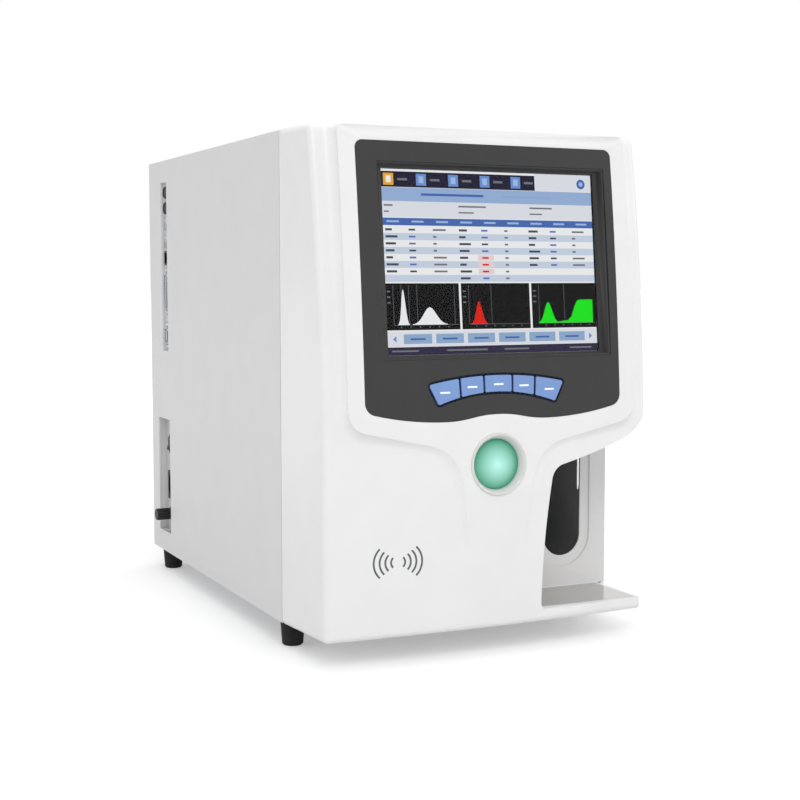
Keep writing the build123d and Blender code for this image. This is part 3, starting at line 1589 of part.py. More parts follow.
def needle_holder():
    """Slider of the lift, which clamps the probe and carries the screw's nut."""
    low = (lift_guide_x - 6, probe_y - 6, holder_z)
    high = (lift_screw_x + 6, lift_axis_y + 8, holder_z + holder_height)
    body = block(low, high)
    body = fillet(body.edges().filter_by(Axis.Z), 2.0)
    body -= rod((lift_guide_x, lift_axis_y, holder_z - 1), (0, 0, 1), 2.5 + running_gap, holder_height + 2)
    body -= rod((lift_screw_x, lift_axis_y, holder_z - 1), (0, 0, 1), drive_screw_radius + running_gap, holder_height + 2)
    body -= rod((probe_x, probe_y, holder_z - 1), (0, 0, 1), probe_radius + 0.05, holder_height + 2)
    return body + rod((probe_x, probe_y - 6, holder_z + holder_height / 2), (0, -1, 0), 2.0, 2.5)


def sample_needle():
    """Sampling needle: a steel tube with a tapered tip."""
    cone = 4.0
    profile = [
        (0.45, 0),
        (0.6, 0),
        (probe_radius, cone),
        (probe_radius, probe_length),
        (0.45, probe_length),
    ]
    plane = Plane(origin=(probe_x, probe_y, probe_tip_z), x_dir=(1, 0, 0), z_dir=(0, 0, -1))
    return turned(plane, profile)


# Counting and fluid handling
def counting_chambers():
    """Two open measuring cups on feet, in line behind the probe."""
    cups = []
    inner = chamber_radius - chamber_wall
    top = cover_sheet + chamber_height
    for index in range(2):
        y = probe_y + probe_travel - index * chamber_spacing
        profile = [
            (0, -cover_sheet - 18),
            (0, -cover_sheet - 8),
            (chamber_radius - 5, -cover_sheet - 8),
            (chamber_radius - 5, -cover_sheet - 14),
            (chamber_radius, -cover_sheet - 20),
            (chamber_radius, -top),
            (inner, -top),
            (inner, -cover_sheet - 24),
            (3, -cover_sheet - 18),
        ]
        cup = turned(Plane(origin=(probe_x, y, 0)), profile)
        foot = block((probe_x - 14, y - 14, cover_sheet), (probe_x + 14, y + 14, cover_sheet + 8))
        tail = rod((probe_x - chamber_radius + 1, y, cover_sheet + 30), (-1, 0, 0), 2.2, 9)
        cups.append(cup + foot + tail)
    return group(cups)


def divider_panel():
    """Upright sheet between the electronics and the fluid side."""
    panel = block((divider_x, seam_gap + 4, cover_sheet), (divider_x + cover_sheet, rear_inner_y - 4, case_height - 20))
    foot = block((divider_x - 12, seam_gap + 4, cover_sheet), (divider_x, seam_gap + 80, 2 * cover_sheet))
    window = Pos(case_depth * 0.35, case_height * 0.75) * RectangleRounded(90, 60, 6)
    return panel + foot - sideways_prism(window, divider_x - 1, divider_x + cover_sheet + 1)


def syringe_pump():
    """Syringe pump: bracket on the divider, two glass barrels, a guide and a motor."""
    face_x = divider_x + cover_sheet
    axis_x = face_x + 20
    top = syringe_base_z + syringe_length + syringe_stroke + 26
    bracket = block((face_x, syringe_y - 32, syringe_base_z - 10), (face_x + 5, syringe_y + 32, top))
    shelf_z = syringe_base_z + syringe_stroke + 16
    bracket += block((face_x, syringe_y - 32, shelf_z), (axis_x + 10, syringe_y + 32, shelf_z + 5))
    bracket += block((face_x, syringe_y - 16, syringe_base_z - 10), (axis_x + 10, syringe_y + 16, syringe_base_z - 4))
    bracket += block((face_x, syringe_y - 32, top - 8), (axis_x + 8, syringe_y + 32, top))
    pump = bracket
    for side in (-1, 1):
        y = syringe_y + side * syringe_spacing / 2
        outer = syringe_bore_radius + syringe_wall
        pump += rod((axis_x, y, shelf_z + 2), (0, 0, 1), outer, top - shelf_z - 4)
        pump -= rod((axis_x, y, shelf_z - 1), (0, 0, 1), syringe_bore_radius, top - 14 - shelf_z)
        pump += rod((axis_x, y, top - 1), (0, 0, 1), 2.4, 9)
    motor = stepper((axis_x, syringe_y, syringe_base_z - 10), (0, 0, -1))
    guide = rod((axis_x, syringe_y, syringe_base_z - 5), (0, 0, 1), 3.0, shelf_z - syringe_base_z + 6)
    return pump + motor + guide


def syringe_plungers():
    """Yoke on the guide, with a plunger in each barrel."""
    face_x = divider_x + cover_sheet
    axis_x = face_x + 20
    yoke_z = syringe_base_z
    yoke = block((axis_x - 8, syringe_y - 22, yoke_z), (axis_x + 8, syringe_y + 22, yoke_z + 8))
    yoke -= rod((axis_x, syringe_y, yoke_z - 1), (0, 0, 1), 3.0 + running_gap, 10)
    shelf_z = syringe_base_z + syringe_stroke + 16
    for side in (-1, 1):
        y = syringe_y + side * syringe_spacing / 2
        yoke += rod((axis_x, y, yoke_z + 7), (0, 0, 1), 2.5, shelf_z - yoke_z + 2)
        yoke += rod((axis_x, y, shelf_z + 7), (0, 0, 1), syringe_bore_radius - running_gap, 8)
        yoke += rod((axis_x, y, yoke_z + 7), (0, 0, 1), 2.5, shelf_z - yoke_z)
    return yoke


def valve_bank():
    """Manifold on the divider with a row of solenoid valves."""
    face_x = divider_x + cover_sheet
    first_y = case_depth - 158.7
    length = valve_count * valve_pitch + 6
    manifold = block((face_x, first_y, 120), (face_x + 18, first_y + length, 138))
    for index in range(valve_count):
        y = first_y + 3 + valve_pitch * (index + 0.5)
        manifold += block((face_x + 18, y - 8, 121), (face_x + 24, y + 8, 137))
        manifold += rod((face_x + 23, y, 129), (1, 0, 0), 7.5, 27)
        manifold += rod((face_x + 9, y, 112), (0, 0, 1), 2.0, 9)
    return manifold


def optical_bench():
    """Optical bench on the divider: base plate, laser, flow cell and detectors."""
    face_x = divider_x + cover_sheet
    low_y = case_depth - 238.7
    plate = block((face_x, low_y, bench_z), (face_x + 8, low_y + bench_length, bench_z + bench_height))
    mid_z = bench_z + bench_height / 2
    laser = rod((face_x + 24, low_y + 12, mid_z), (0, 1, 0), 12, 60)
    saddle = block((face_x + 7, low_y + 20, mid_z - 9), (face_x + 20, low_y + 64, mid_z + 9))
    cell = block((face_x + 7, low_y + 88, mid_z - 14), (face_x + 36, low_y + 112, mid_z + 14))
    lens = rod((face_x + 24, low_y + 71, mid_z), (0, 1, 0), 7, 18)
    detector = block((face_x + 7, low_y + 128, mid_z - 18), (face_x + 40, low_y + 160, mid_z + 18))
    side_detector = block((face_x + 7, low_y + 86, mid_z + 18), (face_x + 30, low_y + 114, mid_z + 40))
    bench = plate + saddle + laser + cell + lens + detector + side_detector
    return bench + rod((face_x + 24, low_y + 111, mid_z), (0, 1, 0), 5, 18)


def vacuum_pump():
    """Diaphragm pump on the base pan: motor, two heads and rubber mounts."""
    y = case_depth - 150
    x = 100.0
    z = cover_sheet + 10 + pump_radius
    motor = rod((x, y, z), (0, 1, 0), pump_radius, pump_length)
    housing = block((x - 20, y - 34, z - 20), (x + 20, y, z + 20))
    head_low = block((x - 16, y - 30, z + 20), (x + 16, y - 4, z + 32))
    ports = rod((x - 8, y - 17, z + 31), (0, 0, 1), 2.5, 9) + rod((x + 8, y - 17, z + 31), (0, 0, 1), 2.5, 9)
    cradle = block((x - 24, y - 28, cover_sheet), (x + 24, y + 40, cover_sheet + 6))
    saddle = block((x - 14, y + 8, cover_sheet + 5), (x + 14, y + 36, z - 8))
    block_foot = block((x - 18, y - 30, cover_sheet + 5), (x + 18, y - 4, z - 19))
    return motor + housing + head_low + ports + cradle + saddle + block_foot


def build_pieces():
    """Every piece of the analyzer by its node's name, in the cabinet's frame."""
    form = moulding_form()
    rows = port_rows()
    pieces = {
        "base_pan": base_pan(),
        "rubber_feet": rubber_feet(),
        "assembly_screws": assembly_screws(),
        "inner_frame": inner_frame(),
        "left_side_cover": left_side_cover(),
        "right_side_cover": right_side_cover(),
        "top_cover": top_cover(),
        "rear_panel": rear_panel(),
        "front_panel": front_panel(form),
        "display_bezel": display_bezel(),
        "screen_frame": screen_frame(),
        "touch_glass": touch_glass(),
        "lcd_module": lcd_module(),
        "display_bracket": display_bracket(),
        "keypad_tray": keypad_tray(),
        "key_board": key_board(),
        "start_button_ring": start_button_ring(),
        "start_button": start_button(),
        "start_switch": start_switch(),
        "card_reader": card_reader(),
        "sampling_bay_liner": sampling_bay_liner(),
        "drip_tray": drip_tray(),
        "port_recess": port_recess(),
        "keyboard_and_mouse_sockets": group([round_port(rows["round_high"]), round_port(rows["round_low"])]),
        "usb_sockets": group([usb_port(rows["usb_high"]), usb_port(rows["usb_low"])]),
        "network_socket": network_socket(),
        "printer_and_serial_ports": group(
            [d_port(rows["wide"], 53.0, 38.5, 25), d_port(rows["narrow"], 30.8, 16.5, 9)]
        ),
        "power_recess": power_recess(),
        "power_switch_body": power_switch_body(),
        "power_rocker": power_rocker(),
        "mains_inlet": mains_inlet(),
        "fuse_holder": fuse_holder(),
        "fuse_cap": fuse_cap(),
        "main_board": main_board(),
        "power_supply": power_supply(),
        "fan_housing": fan_housing(),
        "fan_impeller": fan_impeller(),
        "fan_guard": fan_guard(),
        "reagent_fittings": reagent_fittings(),
        "divider_panel": divider_panel(),
        "probe_rail_frame": probe_rail_frame(),
        "traverse_screw": traverse_screw(),
        "traverse_motor": traverse_motor(),
        "probe_carriage": probe_carriage(),
        "rinse_block": rinse_block(),
        "lift_motor": lift_motor(),
        "lift_screw": lift_screw(),
        "needle_holder": needle_holder(),
        "sample_needle": sample_needle(),
        "counting_chambers": counting_chambers(),
        "syringe_pump": syringe_pump(),
        "syringe_plungers": syringe_plungers(),
        "valve_bank": valve_bank(),
        "optical_bench": optical_bench(),
        "vacuum_pump": vacuum_pump(),
    }
    for number, key in enumerate(function_keys(), start=1):
        pieces[f"function_key_{number}"] = key
    return pieces


def main():
    """Move every piece into the row's frame and write it out."""
    os.makedirs("parts", exist_ok=True)
    pieces = build_pieces()
    boxes = [piece.bounding_box() for piece in pieces.values()]
    low = [min(getattr(box.min, axis) for box in boxes) for axis in "XYZ"]
    high = [max(getattr(box.max, axis) for box in boxes) for axis in "XYZ"]
    to_row = Pos(-(low[0] + high[0]) / 2, -(low[1] + high[1]) / 2, foot_height)
    print("move to the row's frame", to_row.position)
    for name, piece in pieces.items():
        export_step(to_row * piece, f"parts/{name}.step")


main()
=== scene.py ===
"""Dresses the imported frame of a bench-top hematology analyzer for its picture."""

from __future__ import annotations

import json
import logging
import math
from dataclasses import dataclass, field
from enum import Enum

import bmesh
import bpy
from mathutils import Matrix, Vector
from mathutils.bvhtree import BVHTree

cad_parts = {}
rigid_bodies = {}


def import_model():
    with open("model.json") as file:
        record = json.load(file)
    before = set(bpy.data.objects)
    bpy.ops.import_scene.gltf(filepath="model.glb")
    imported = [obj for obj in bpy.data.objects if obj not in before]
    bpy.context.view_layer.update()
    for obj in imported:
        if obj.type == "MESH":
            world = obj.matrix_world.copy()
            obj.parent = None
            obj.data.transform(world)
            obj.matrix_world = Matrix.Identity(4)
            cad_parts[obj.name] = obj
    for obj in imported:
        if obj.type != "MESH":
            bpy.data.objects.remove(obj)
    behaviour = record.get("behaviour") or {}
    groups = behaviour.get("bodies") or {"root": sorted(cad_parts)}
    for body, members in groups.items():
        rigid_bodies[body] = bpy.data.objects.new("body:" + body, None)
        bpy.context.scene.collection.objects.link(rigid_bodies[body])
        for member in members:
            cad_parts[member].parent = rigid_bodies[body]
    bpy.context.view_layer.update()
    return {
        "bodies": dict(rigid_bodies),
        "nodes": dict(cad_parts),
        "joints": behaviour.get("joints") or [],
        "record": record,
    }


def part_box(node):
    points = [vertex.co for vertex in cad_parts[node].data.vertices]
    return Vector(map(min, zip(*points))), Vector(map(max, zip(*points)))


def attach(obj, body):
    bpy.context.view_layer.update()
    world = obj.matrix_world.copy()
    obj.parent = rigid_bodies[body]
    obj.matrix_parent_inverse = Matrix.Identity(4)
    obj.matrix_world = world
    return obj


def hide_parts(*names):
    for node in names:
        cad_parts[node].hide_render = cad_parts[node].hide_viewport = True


LOG = logging.getLogger("analyzer")
MM = 0.001
WELD_DISTANCE = 2e-6
FLAT_ANGLE = math.radians(0.4)
BEVEL_ANGLE = math.radians(50)
COAT_ROUGHNESS = 0.08
SMOOTHEST = 0.02


# Colours and finishes
def display_colour(red: float, green: float, blue: float) -> tuple[float, float, float, float]:
    """Linear colour of a display colour given from 0 to 255."""

    def linear(value: float) -> float:
        """One channel, from display to linear."""
        share = value / 255
        return share / 12.92 if share <= 0.04045 else ((share + 0.055) / 1.055) ** 2.4

    return (linear(red), linear(green), linear(blue), 1.0)


def shade(colour: tuple[float, float, float, float], factor: float) -> tuple[float, float, float, float]:
    """The same colour, lighter or darker by a factor, kept under full white."""
    return tuple(min(1.0, channel * factor) for channel in colour[:3]) + (colour[3],)


class Grain(Enum):
    """How a finish's fine relief runs."""

    EVEN = (1.0, 1.0, 1.0)
    ALONG_X = (0.03, 1.0, 1.0)
    ALONG_Y = (1.0, 0.03, 1.0)


@dataclass(frozen=True)
class Finish:
    """A procedural surface: mottled colour, uneven gloss and fine relief."""

    name: str
    colour: tuple[float, float, float, float]
    roughness: float = 0.5
    gloss_change: float = 0.08
    metallic: float = 0.0
    mottle: float = 0.03
    mottle_scale: float = 30.0
    relief: float = 0.1
    relief_scale: float = 900.0
    relief_depth: float = 0.00005
    grain: Grain = Grain.EVEN
    coat: float = 0.0
    ior: float = 1.46

    def build(self) -> bpy.types.Material:
        """Make the node material, or fetch it if it is already made.

        Returns:
            The material with this finish's name.
        """
        own_name = f"{self.name}_look"
        known = bpy.data.materials.get(own_name)
        if known:
            return known
        material = bpy.data.materials.new(own_name)
        material.use_nodes = True
        tree = material.node_tree
        shader = tree.nodes["Principled BSDF"]
        shader.inputs["Metallic"].default_value = self.metallic
        shader.inputs["IOR"].default_value = self.ior
        shader.inputs["Coat Weight"].default_value = self.coat
        shader.inputs["Coat Roughness"].default_value = COAT_ROUGHNESS
        where = self.coordinates(tree)
        self.colour_nodes(tree, shader, where)
        self.gloss_nodes(tree, shader, where)
        self.relief_nodes(tree, shader, where)
        self.extra(tree, shader, where)
        return material

    def coordinates(self, tree: bpy.types.NodeTree) -> bpy.types.NodeSocket:
        """Object coordinates, drawn out along the grain.

        Args:
            tree: The material's node tree.

        Returns:
            The socket that gives the coordinates.
        """
        source = tree.nodes.new("ShaderNodeTexCoord")
        mapping = tree.nodes.new("ShaderNodeMapping")
        mapping.inputs["Scale"].default_value = self.grain.value
        tree.links.new(source.outputs["Object"], mapping.inputs["Vector"])
        return mapping.outputs["Vector"]

    def noise(
        self, tree: bpy.types.NodeTree, where: bpy.types.NodeSocket, scale: float, detail: float
    ) -> bpy.types.NodeSocket:
        """A noise pattern on the coordinates.

        Args:
            tree: The material's node tree.
            where: The coordinates.
            scale: How many cells there are in a metre.
            detail: How many finer layers are added.

        Returns:
            The noise's value socket.
        """
        node = tree.nodes.new("ShaderNodeTexNoise")
        node.inputs["Scale"].default_value = scale
        node.inputs["Detail"].default_value = detail
        tree.links.new(where, node.inputs["Vector"])
        return node.outputs["Fac"]

    def colour_nodes(
        self, tree: bpy.types.NodeTree, shader: bpy.types.Node, where: bpy.types.NodeSocket
    ) -> None:
        """Mix the colour between a lighter and a darker tone.

        Args:
            tree: The material's node tree.
            shader: The surface shader.
            where: The coordinates.
        """
        ramp = tree.nodes.new("ShaderNodeValToRGB")
        ramp.color_ramp.elements[0].position = 0.3
        ramp.color_ramp.elements[1].position = 0.7
        ramp.color_ramp.elements[0].color = shade(self.colour, 1 - self.mottle)
        ramp.color_ramp.elements[1].color = shade(self.colour, 1 + self.mottle)
        tree.links.new(self.noise(tree, where, self.mottle_scale, 3.0), ramp.inputs["Fac"])
        tree.links.new(ramp.outputs["Color"], shader.inputs["Base Color"])

    def gloss_nodes(
        self, tree: bpy.types.NodeTree, shader: bpy.types.Node, where: bpy.types.NodeSocket
    ) -> None:
        """Let the roughness wander around its middle value.

        Args:
            tree: The material's node tree.
            shader: The surface shader.
            where: The coordinates.
        """
        spread = tree.nodes.new("ShaderNodeMapRange")
        spread.inputs["To Min"].default_value = max(SMOOTHEST, self.roughness - self.gloss_change)
        spread.inputs["To Max"].default_value = min(1.0, self.roughness + self.gloss_change)
        tree.links.new(self.noise(tree, where, self.mottle_scale * 3, 2.0), spread.inputs["Value"])
        tree.links.new(spread.outputs["Result"], shader.inputs["Roughness"])

    def relief_nodes(
        self, tree: bpy.types.NodeTree, shader: bpy.types.Node, where: bpy.types.NodeSocket
    ) -> None:
        """Add the fine relief of the moulded, painted or drawn surface.

        Args:
            tree: The material's node tree.
            shader: The surface shader.
            where: The coordinates.
        """
        bump = tree.nodes.new("ShaderNodeBump")
        bump.inputs["Strength"].default_value = self.relief
        bump.inputs["Distance"].default_value = self.relief_depth
        tree.links.new(self.noise(tree, where, self.relief_scale, 2.0), bump.inputs["Height"])
        tree.links.new(bump.outputs["Normal"], shader.inputs["Normal"])

    def extra(
        self, tree: bpy.types.NodeTree, shader: bpy.types.Node, where: bpy.types.NodeSocket
    ) -> None:
        """Nothing more on a plain finish."""


@dataclass(frozen=True)
class ClearFinish(Finish):
    """A clear material that light passes through."""

    transmission: float = 1.0

    def extra(
        self, tree: bpy.types.NodeTree, shader: bpy.types.Node, where: bpy.types.NodeSocket
    ) -> None:
        """Let light through."""
        shader.inputs["Transmission Weight"].default_value = self.transmission


@dataclass(frozen=True)
class PaintedGlowFinish(Finish):
    """A plastic with a painted glow: emission in its own colour brightens it as painted light."""

    glow: float = 0.2

    def extra(
        self, tree: bpy.types.NodeTree, shader: bpy.types.Node, where: bpy.types.NodeSocket
    ) -> None:
        """Add the painted glow."""
        shader.inputs["Emission Color"].default_value = self.colour
        shader.inputs["Emission Strength"].default_value = self.glow


@dataclass(frozen=True)
class PaintedLightDomeFinish(Finish):
    """A round button with painted light: a painted highlight in the middle of the dome, darkening to painted
    shade towards its edge, and a painted glow.
    """

    centre: tuple[float, float, float] = (0.0, 0.0, 0.0)
    radius: float = 0.02
    shaded_edge_colour: tuple[float, float, float, float] = (0.0, 0.0, 0.0, 1.0)
    glow: float = 0.25

    def colour_nodes(
        self, tree: bpy.types.NodeTree, shader: bpy.types.Node, where: bpy.types.NodeSocket
    ) -> None:
        """Run the colour from the painted highlight in the middle to the painted shade at the edge, and let
        it glow as painted light.

        Args:
            tree: The material's node tree.
            shader: The surface shader.
            where: The coordinates.
        """
        distance = tree.nodes.new("ShaderNodeVectorMath")
        distance.operation = "DISTANCE"
        distance.inputs[1].default_value = self.centre
        tree.links.new(where, distance.inputs[0])
        share = tree.nodes.new("ShaderNodeMapRange")
        share.inputs["From Max"].default_value = self.radius
        tree.links.new(distance.outputs["Value"], share.inputs["Value"])
        ramp = tree.nodes.new("ShaderNodeValToRGB")
        ramp.color_ramp.elements[0].color = shade(self.colour, 1.0)
        ramp.color_ramp.elements[1].color = self.shaded_edge_colour
        middle = ramp.color_ramp.elements.new(0.55)
        middle.color = tuple((a + b) / 2 for a, b in zip(self.colour, self.shaded_edge_colour))
        tree.links.new(share.outputs["Result"], ramp.inputs["Fac"])
        tree.links.new(ramp.outputs["Color"], shader.inputs["Base Color"])
        tree.links.new(ramp.outputs["Color"], shader.inputs["Emission Color"])
        shader.inputs["Emission Strength"].default_value = self.glow


@dataclass(frozen=True)
class PictureFinish(Finish):
    """The lit display: its colours come from the picture mesh, cut by a fine pixel grid."""

    attribute: str = "picture"
    brightness: float = 0.85

    def colour_nodes(
        self, tree: bpy.types.NodeTree, shader: bpy.types.Node, where: bpy.types.NodeSocket
    ) -> None:
        """Take the colour from the mesh and darken it a little along the pixel rows.

        Args:
            tree: The material's node tree.
            shader: The surface shader.
            where: The coordinates.
        """
        paint = tree.nodes.new("ShaderNodeVertexColor")
        paint.layer_name = self.attribute
        rows = tree.nodes.new("ShaderNodeTexWave")
        rows.wave_type = "BANDS"
        rows.bands_direction = "Z"
        rows.inputs["Scale"].default_value = 480.0
        tree.links.new(where, rows.inputs["Vector"])
        mix = tree.nodes.new("ShaderNodeMix")
        mix.data_type = "RGBA"
        mix.blend_type = "MULTIPLY"
        mix.inputs["Factor"].default_value = 0.06
        tree.links.new(paint.outputs["Color"], mix.inputs[6])
        tree.links.new(rows.outputs["Color"], mix.inputs[7])
        shader.inputs["Base Color"].default_value = (0.004, 0.004, 0.004, 1.0)
        shader.inputs["Specular IOR Level"].default_value = 0.0
        tree.links.new(mix.outputs[2], shader.inputs["Emission Color"])
        shader.inputs["Emission Strength"].default_value = self.brightness


WHITE_MOULDING = Finish(
    "white_moulding",
    display_colour(240, 240, 240),
    0.34,
    0.05,
    mottle=0.012,
    relief=0.05,
    relief_scale=1500,
    coat=0.15,
)
GREY_PAINT = Finish(
    "grey_powder_paint",
    display_colour(226, 226, 227),
    0.5,
    0.06,
    mottle=0.012,
    relief=0.25,
    relief_scale=1300,
)
# A darker copy of the grey paint, used as painted shade in the port and power recesses.
RECESS_SHADED_PAINT = Finish(
    "recess_shaded_paint", display_colour(206, 206, 207), 0.55, 0.06, mottle=0.02, relief=0.2, relief_scale=1300
)
ZINC_SHEET = Finish(
    "zinc_sheet",
    display_colour(176, 178, 182),
    0.36,
    0.1,
    metallic=1.0,
    mottle=0.14,
    mottle_scale=55,
    relief=0.1,
)
DARK_SURROUND = Finish(
    "dark_surround", display_colour(40, 40, 40), 0.55, 0.06, mottle=0.06, relief=0.3, relief_scale=2600
)
BLACK_PLASTIC = Finish(
    "black_plastic", display_colour(15, 15, 16), 0.42, 0.08, mottle=0.1, relief=0.25, relief_scale=2000
)
DISPLAY_GLASS = ClearFinish(
    "display_glass", (1.0, 1.0, 1.0, 1.0), 0.02, 0.01, mottle=0.0, relief=0.0, ior=1.24
)
CONTACT_GOLD = Finish("contact_gold", display_colour(206, 172, 92), 0.3, 0.06, metallic=1.0, mottle=0.05)
PANEL_METAL = Finish("panel_metal", display_colour(150, 150, 155), 0.4, 0.1, metallic=1.0, mottle=0.05)
# The blue keys get a small painted glow: emission brightens them as painted light.
KEY_BLUE = PaintedGlowFinish(
    "key_blue", display_colour(120, 152, 206), 0.36, 0.05, mottle=0.04, relief=0.08, glow=0.06
)
KEY_NAVY = Finish("key_navy", display_colour(8, 16, 46), 0.5, 0.06, mottle=0.1)
RING_SILVER = Finish("ring_silver", display_colour(222, 222, 221), 0.3, 0.06, mottle=0.02, coat=0.2)
BAY_GREY = Finish("bay_grey", display_colour(222, 222, 222), 0.45, 0.05, mottle=0.015, relief=0.1)
TRAY_STEEL = Finish(
    "tray_steel",
    display_colour(196, 192, 188),
    0.14,
    0.05,
    metallic=1.0,
    mottle=0.05,
    relief=0.06,
    grain=Grain.ALONG_X,
)
PROBE_STEEL = Finish("probe_steel", display_colour(205, 206, 208), 0.16, 0.06, metallic=1.0, mottle=0.05)
MACHINED_ALLOY = Finish(
    "machined_alloy",
    display_colour(192, 193, 196),
    0.34,
    0.08,
    metallic=1.0,
    mottle=0.07,
    relief=0.2,
    grain=Grain.ALONG_Y,
)
CIRCUIT_BOARD = Finish("circuit_board", display_colour(20, 84, 46), 0.32, 0.08, mottle=0.2, mottle_scale=160)
RUBBER = Finish(
    "foot_rubber", display_colour(12, 12, 13), 0.78, 0.08, mottle=0.18, relief=0.5, relief_scale=1400
)
PORT_METAL = Finish("port_metal", display_colour(168, 170, 174), 0.3, 0.08, metallic=1.0, mottle=0.1)
CLEAR_ACRYLIC = ClearFinish("clear_acrylic", display_colour(232, 240, 243), 0.08, 0.03, mottle=0.01, ior=1.49)
TAN_PLASTIC = Finish("tan_plastic", display_colour(214, 208, 190), 0.46, 0.06, mottle=0.04)
PICTURE = PictureFinish("display_picture", (0.0, 0.0, 0.0, 1.0), 0.3)
PRINT_GREY = Finish("print_grey", display_colour(92, 94, 98), 0.55, 0.05, mottle=0.06)
# The white print on the keys gets a painted glow: emission brightens it as painted light.
PRINT_WHITE = PaintedGlowFinish("print_white", display_colour(240, 246, 252), 0.5, 0.05, mottle=0.02, glow=0.15)
STUDIO_FLOOR = Finish("studio_floor", display_colour(236, 236, 236), 0.9, 0.02, mottle=0.0, relief=0.0)


# Where things are
@dataclass
class CabinetFrame:
    """Turns the cabinet's own millimetres into the row's metres."""

    half_width: float = 165.0
    seam_y: float = 1.5
    shift: Vector = field(default_factory=Vector)

    def __post_init__(self) -> None:
        """Find the shift from the left cover, whose place in the cabinet is known."""
        low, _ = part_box("left_side_cover")
        self.shift = Vector(low) - Vector((-self.half_width, self.seam_y, 0)) * MM

    def at(self, x: float, y: float, z: float) -> Vector:
        """A point given in the cabinet's millimetres, in the row's metres."""
        return Vector((x, y, z)) * MM + self.shift


@dataclass
class ConsoleFace:
    """The raised console's curved face, in the cabinet's millimetres."""

    nose_y: float = -105.2
    low_z: float = 30.0
    radius: float = 2930.0

    def y(self, z: float) -> float:
        """Y of the face at a height."""
        return self.nose_y + self.radius - math.sqrt(self.radius**2 - (z - self.low_z) ** 2)


@dataclass
class BowedFace:
    """The moulding's lower face, bowed in plan, in the cabinet's millimetres."""

    centre_y: float = 1676.6
    radius: float = 1777.0

    def point(self, x: float, z: float, proud: float) -> tuple[float, float, float]:
        """A point on the face, or a little in front of it."""
        reach = self.radius + proud
        return (x, self.centre_y - math.sqrt(reach**2 - x**2), z)


# Mesh helpers
def new_object(name: str, mesh: bpy.types.Mesh) -> bpy.types.Object:
    """Link a mesh to the scene as an object at the origin."""
    made = bpy.data.objects.new(name, mesh)
    bpy.context.scene.collection.objects.link(made)
    return made


def mesh_of(name: str, points: list, faces: list) -> bpy.types.Mesh:
    """A mesh from points and faces."""
    mesh = bpy.data.meshes.new(name)
    mesh.from_pydata([tuple(point) for point in points], [], faces)
    mesh.update()
    return mesh


def settle(piece: bpy.types.Object) -> None:
    """Turn an object's modifiers into its plain mesh."""
    graph = bpy.context.evaluated_depsgraph_get()
    result = bpy.data.meshes.new_from_object(piece.evaluated_get(graph))
    piece.modifiers.clear()
    piece.data = result


def smooth(piece: bpy.types.Object, angle: float = 32.0) -> None:
    """Shade smooth between sharp edges, with the large faces setting the normals.

    Args:
        piece: The object to shade.
        angle: The smallest turn that stays sharp, in degrees.
    """
    mesh = piece.data
    mesh.polygons.foreach_set("use_smooth", [True] * len(mesh.polygons))
    mesh.set_sharp_from_angle(angle=math.radians(angle))
    weighted = piece.modifiers.new("normals", "WEIGHTED_NORMAL")
    weighted.mode = "FACE_AREA"
    weighted.keep_sharp = True
    settle(piece)


@dataclass
class Skin:
    """A cleaned copy of a CAD node, with rounded edges and its finish."""

    node: str
    body: str
    finish: Finish
    slot: str
    edge: float = 0.0
    angle: float = 32.0

    def build(self, frame: dict) -> bpy.types.Object:
        """Copy the node's mesh, join its loose triangles and let the copy stand for it.

        Args:
            frame: The loaded frame.

        Returns:
            The new object.
        """
        source = frame["nodes"][self.node]
        mesh = source.data.copy()
        mesh.transform(source.matrix_world)
        work = bmesh.new()
        work.from_mesh(mesh)
        bmesh.ops.remove_doubles(work, verts=work.verts, dist=WELD_DISTANCE)
        if self.edge:
            bmesh.ops.dissolve_limit(
                work, angle_limit=FLAT_ANGLE, verts=work.verts, edges=work.edges, delimit={"NORMAL"}
            )
        work.to_mesh(mesh)
        work.free()
        mesh.materials.clear()
        mesh.materials.append(self.finish.build())
        piece = new_object(f"{self.node}_skin", mesh)
        if self.edge:
            self.round_edges(piece)
        smooth(piece, self.angle)
        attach(piece, self.body)
        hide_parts(self.node)
        return piece

    def round_edges(self, piece: bpy.types.Object) -> None:
        """Break the sharp edges by the edge width.

        Args:
            piece: The copy, which gets the result as a plain mesh.
        """
        bevel = piece.modifiers.new("edge", "BEVEL")
        bevel.width = self.edge * MM
        bevel.segments = 2
        bevel.limit_method = "ANGLE"
        bevel.angle_limit = BEVEL_ANGLE
        bevel.use_clamp_overlap = True
        settle(piece)


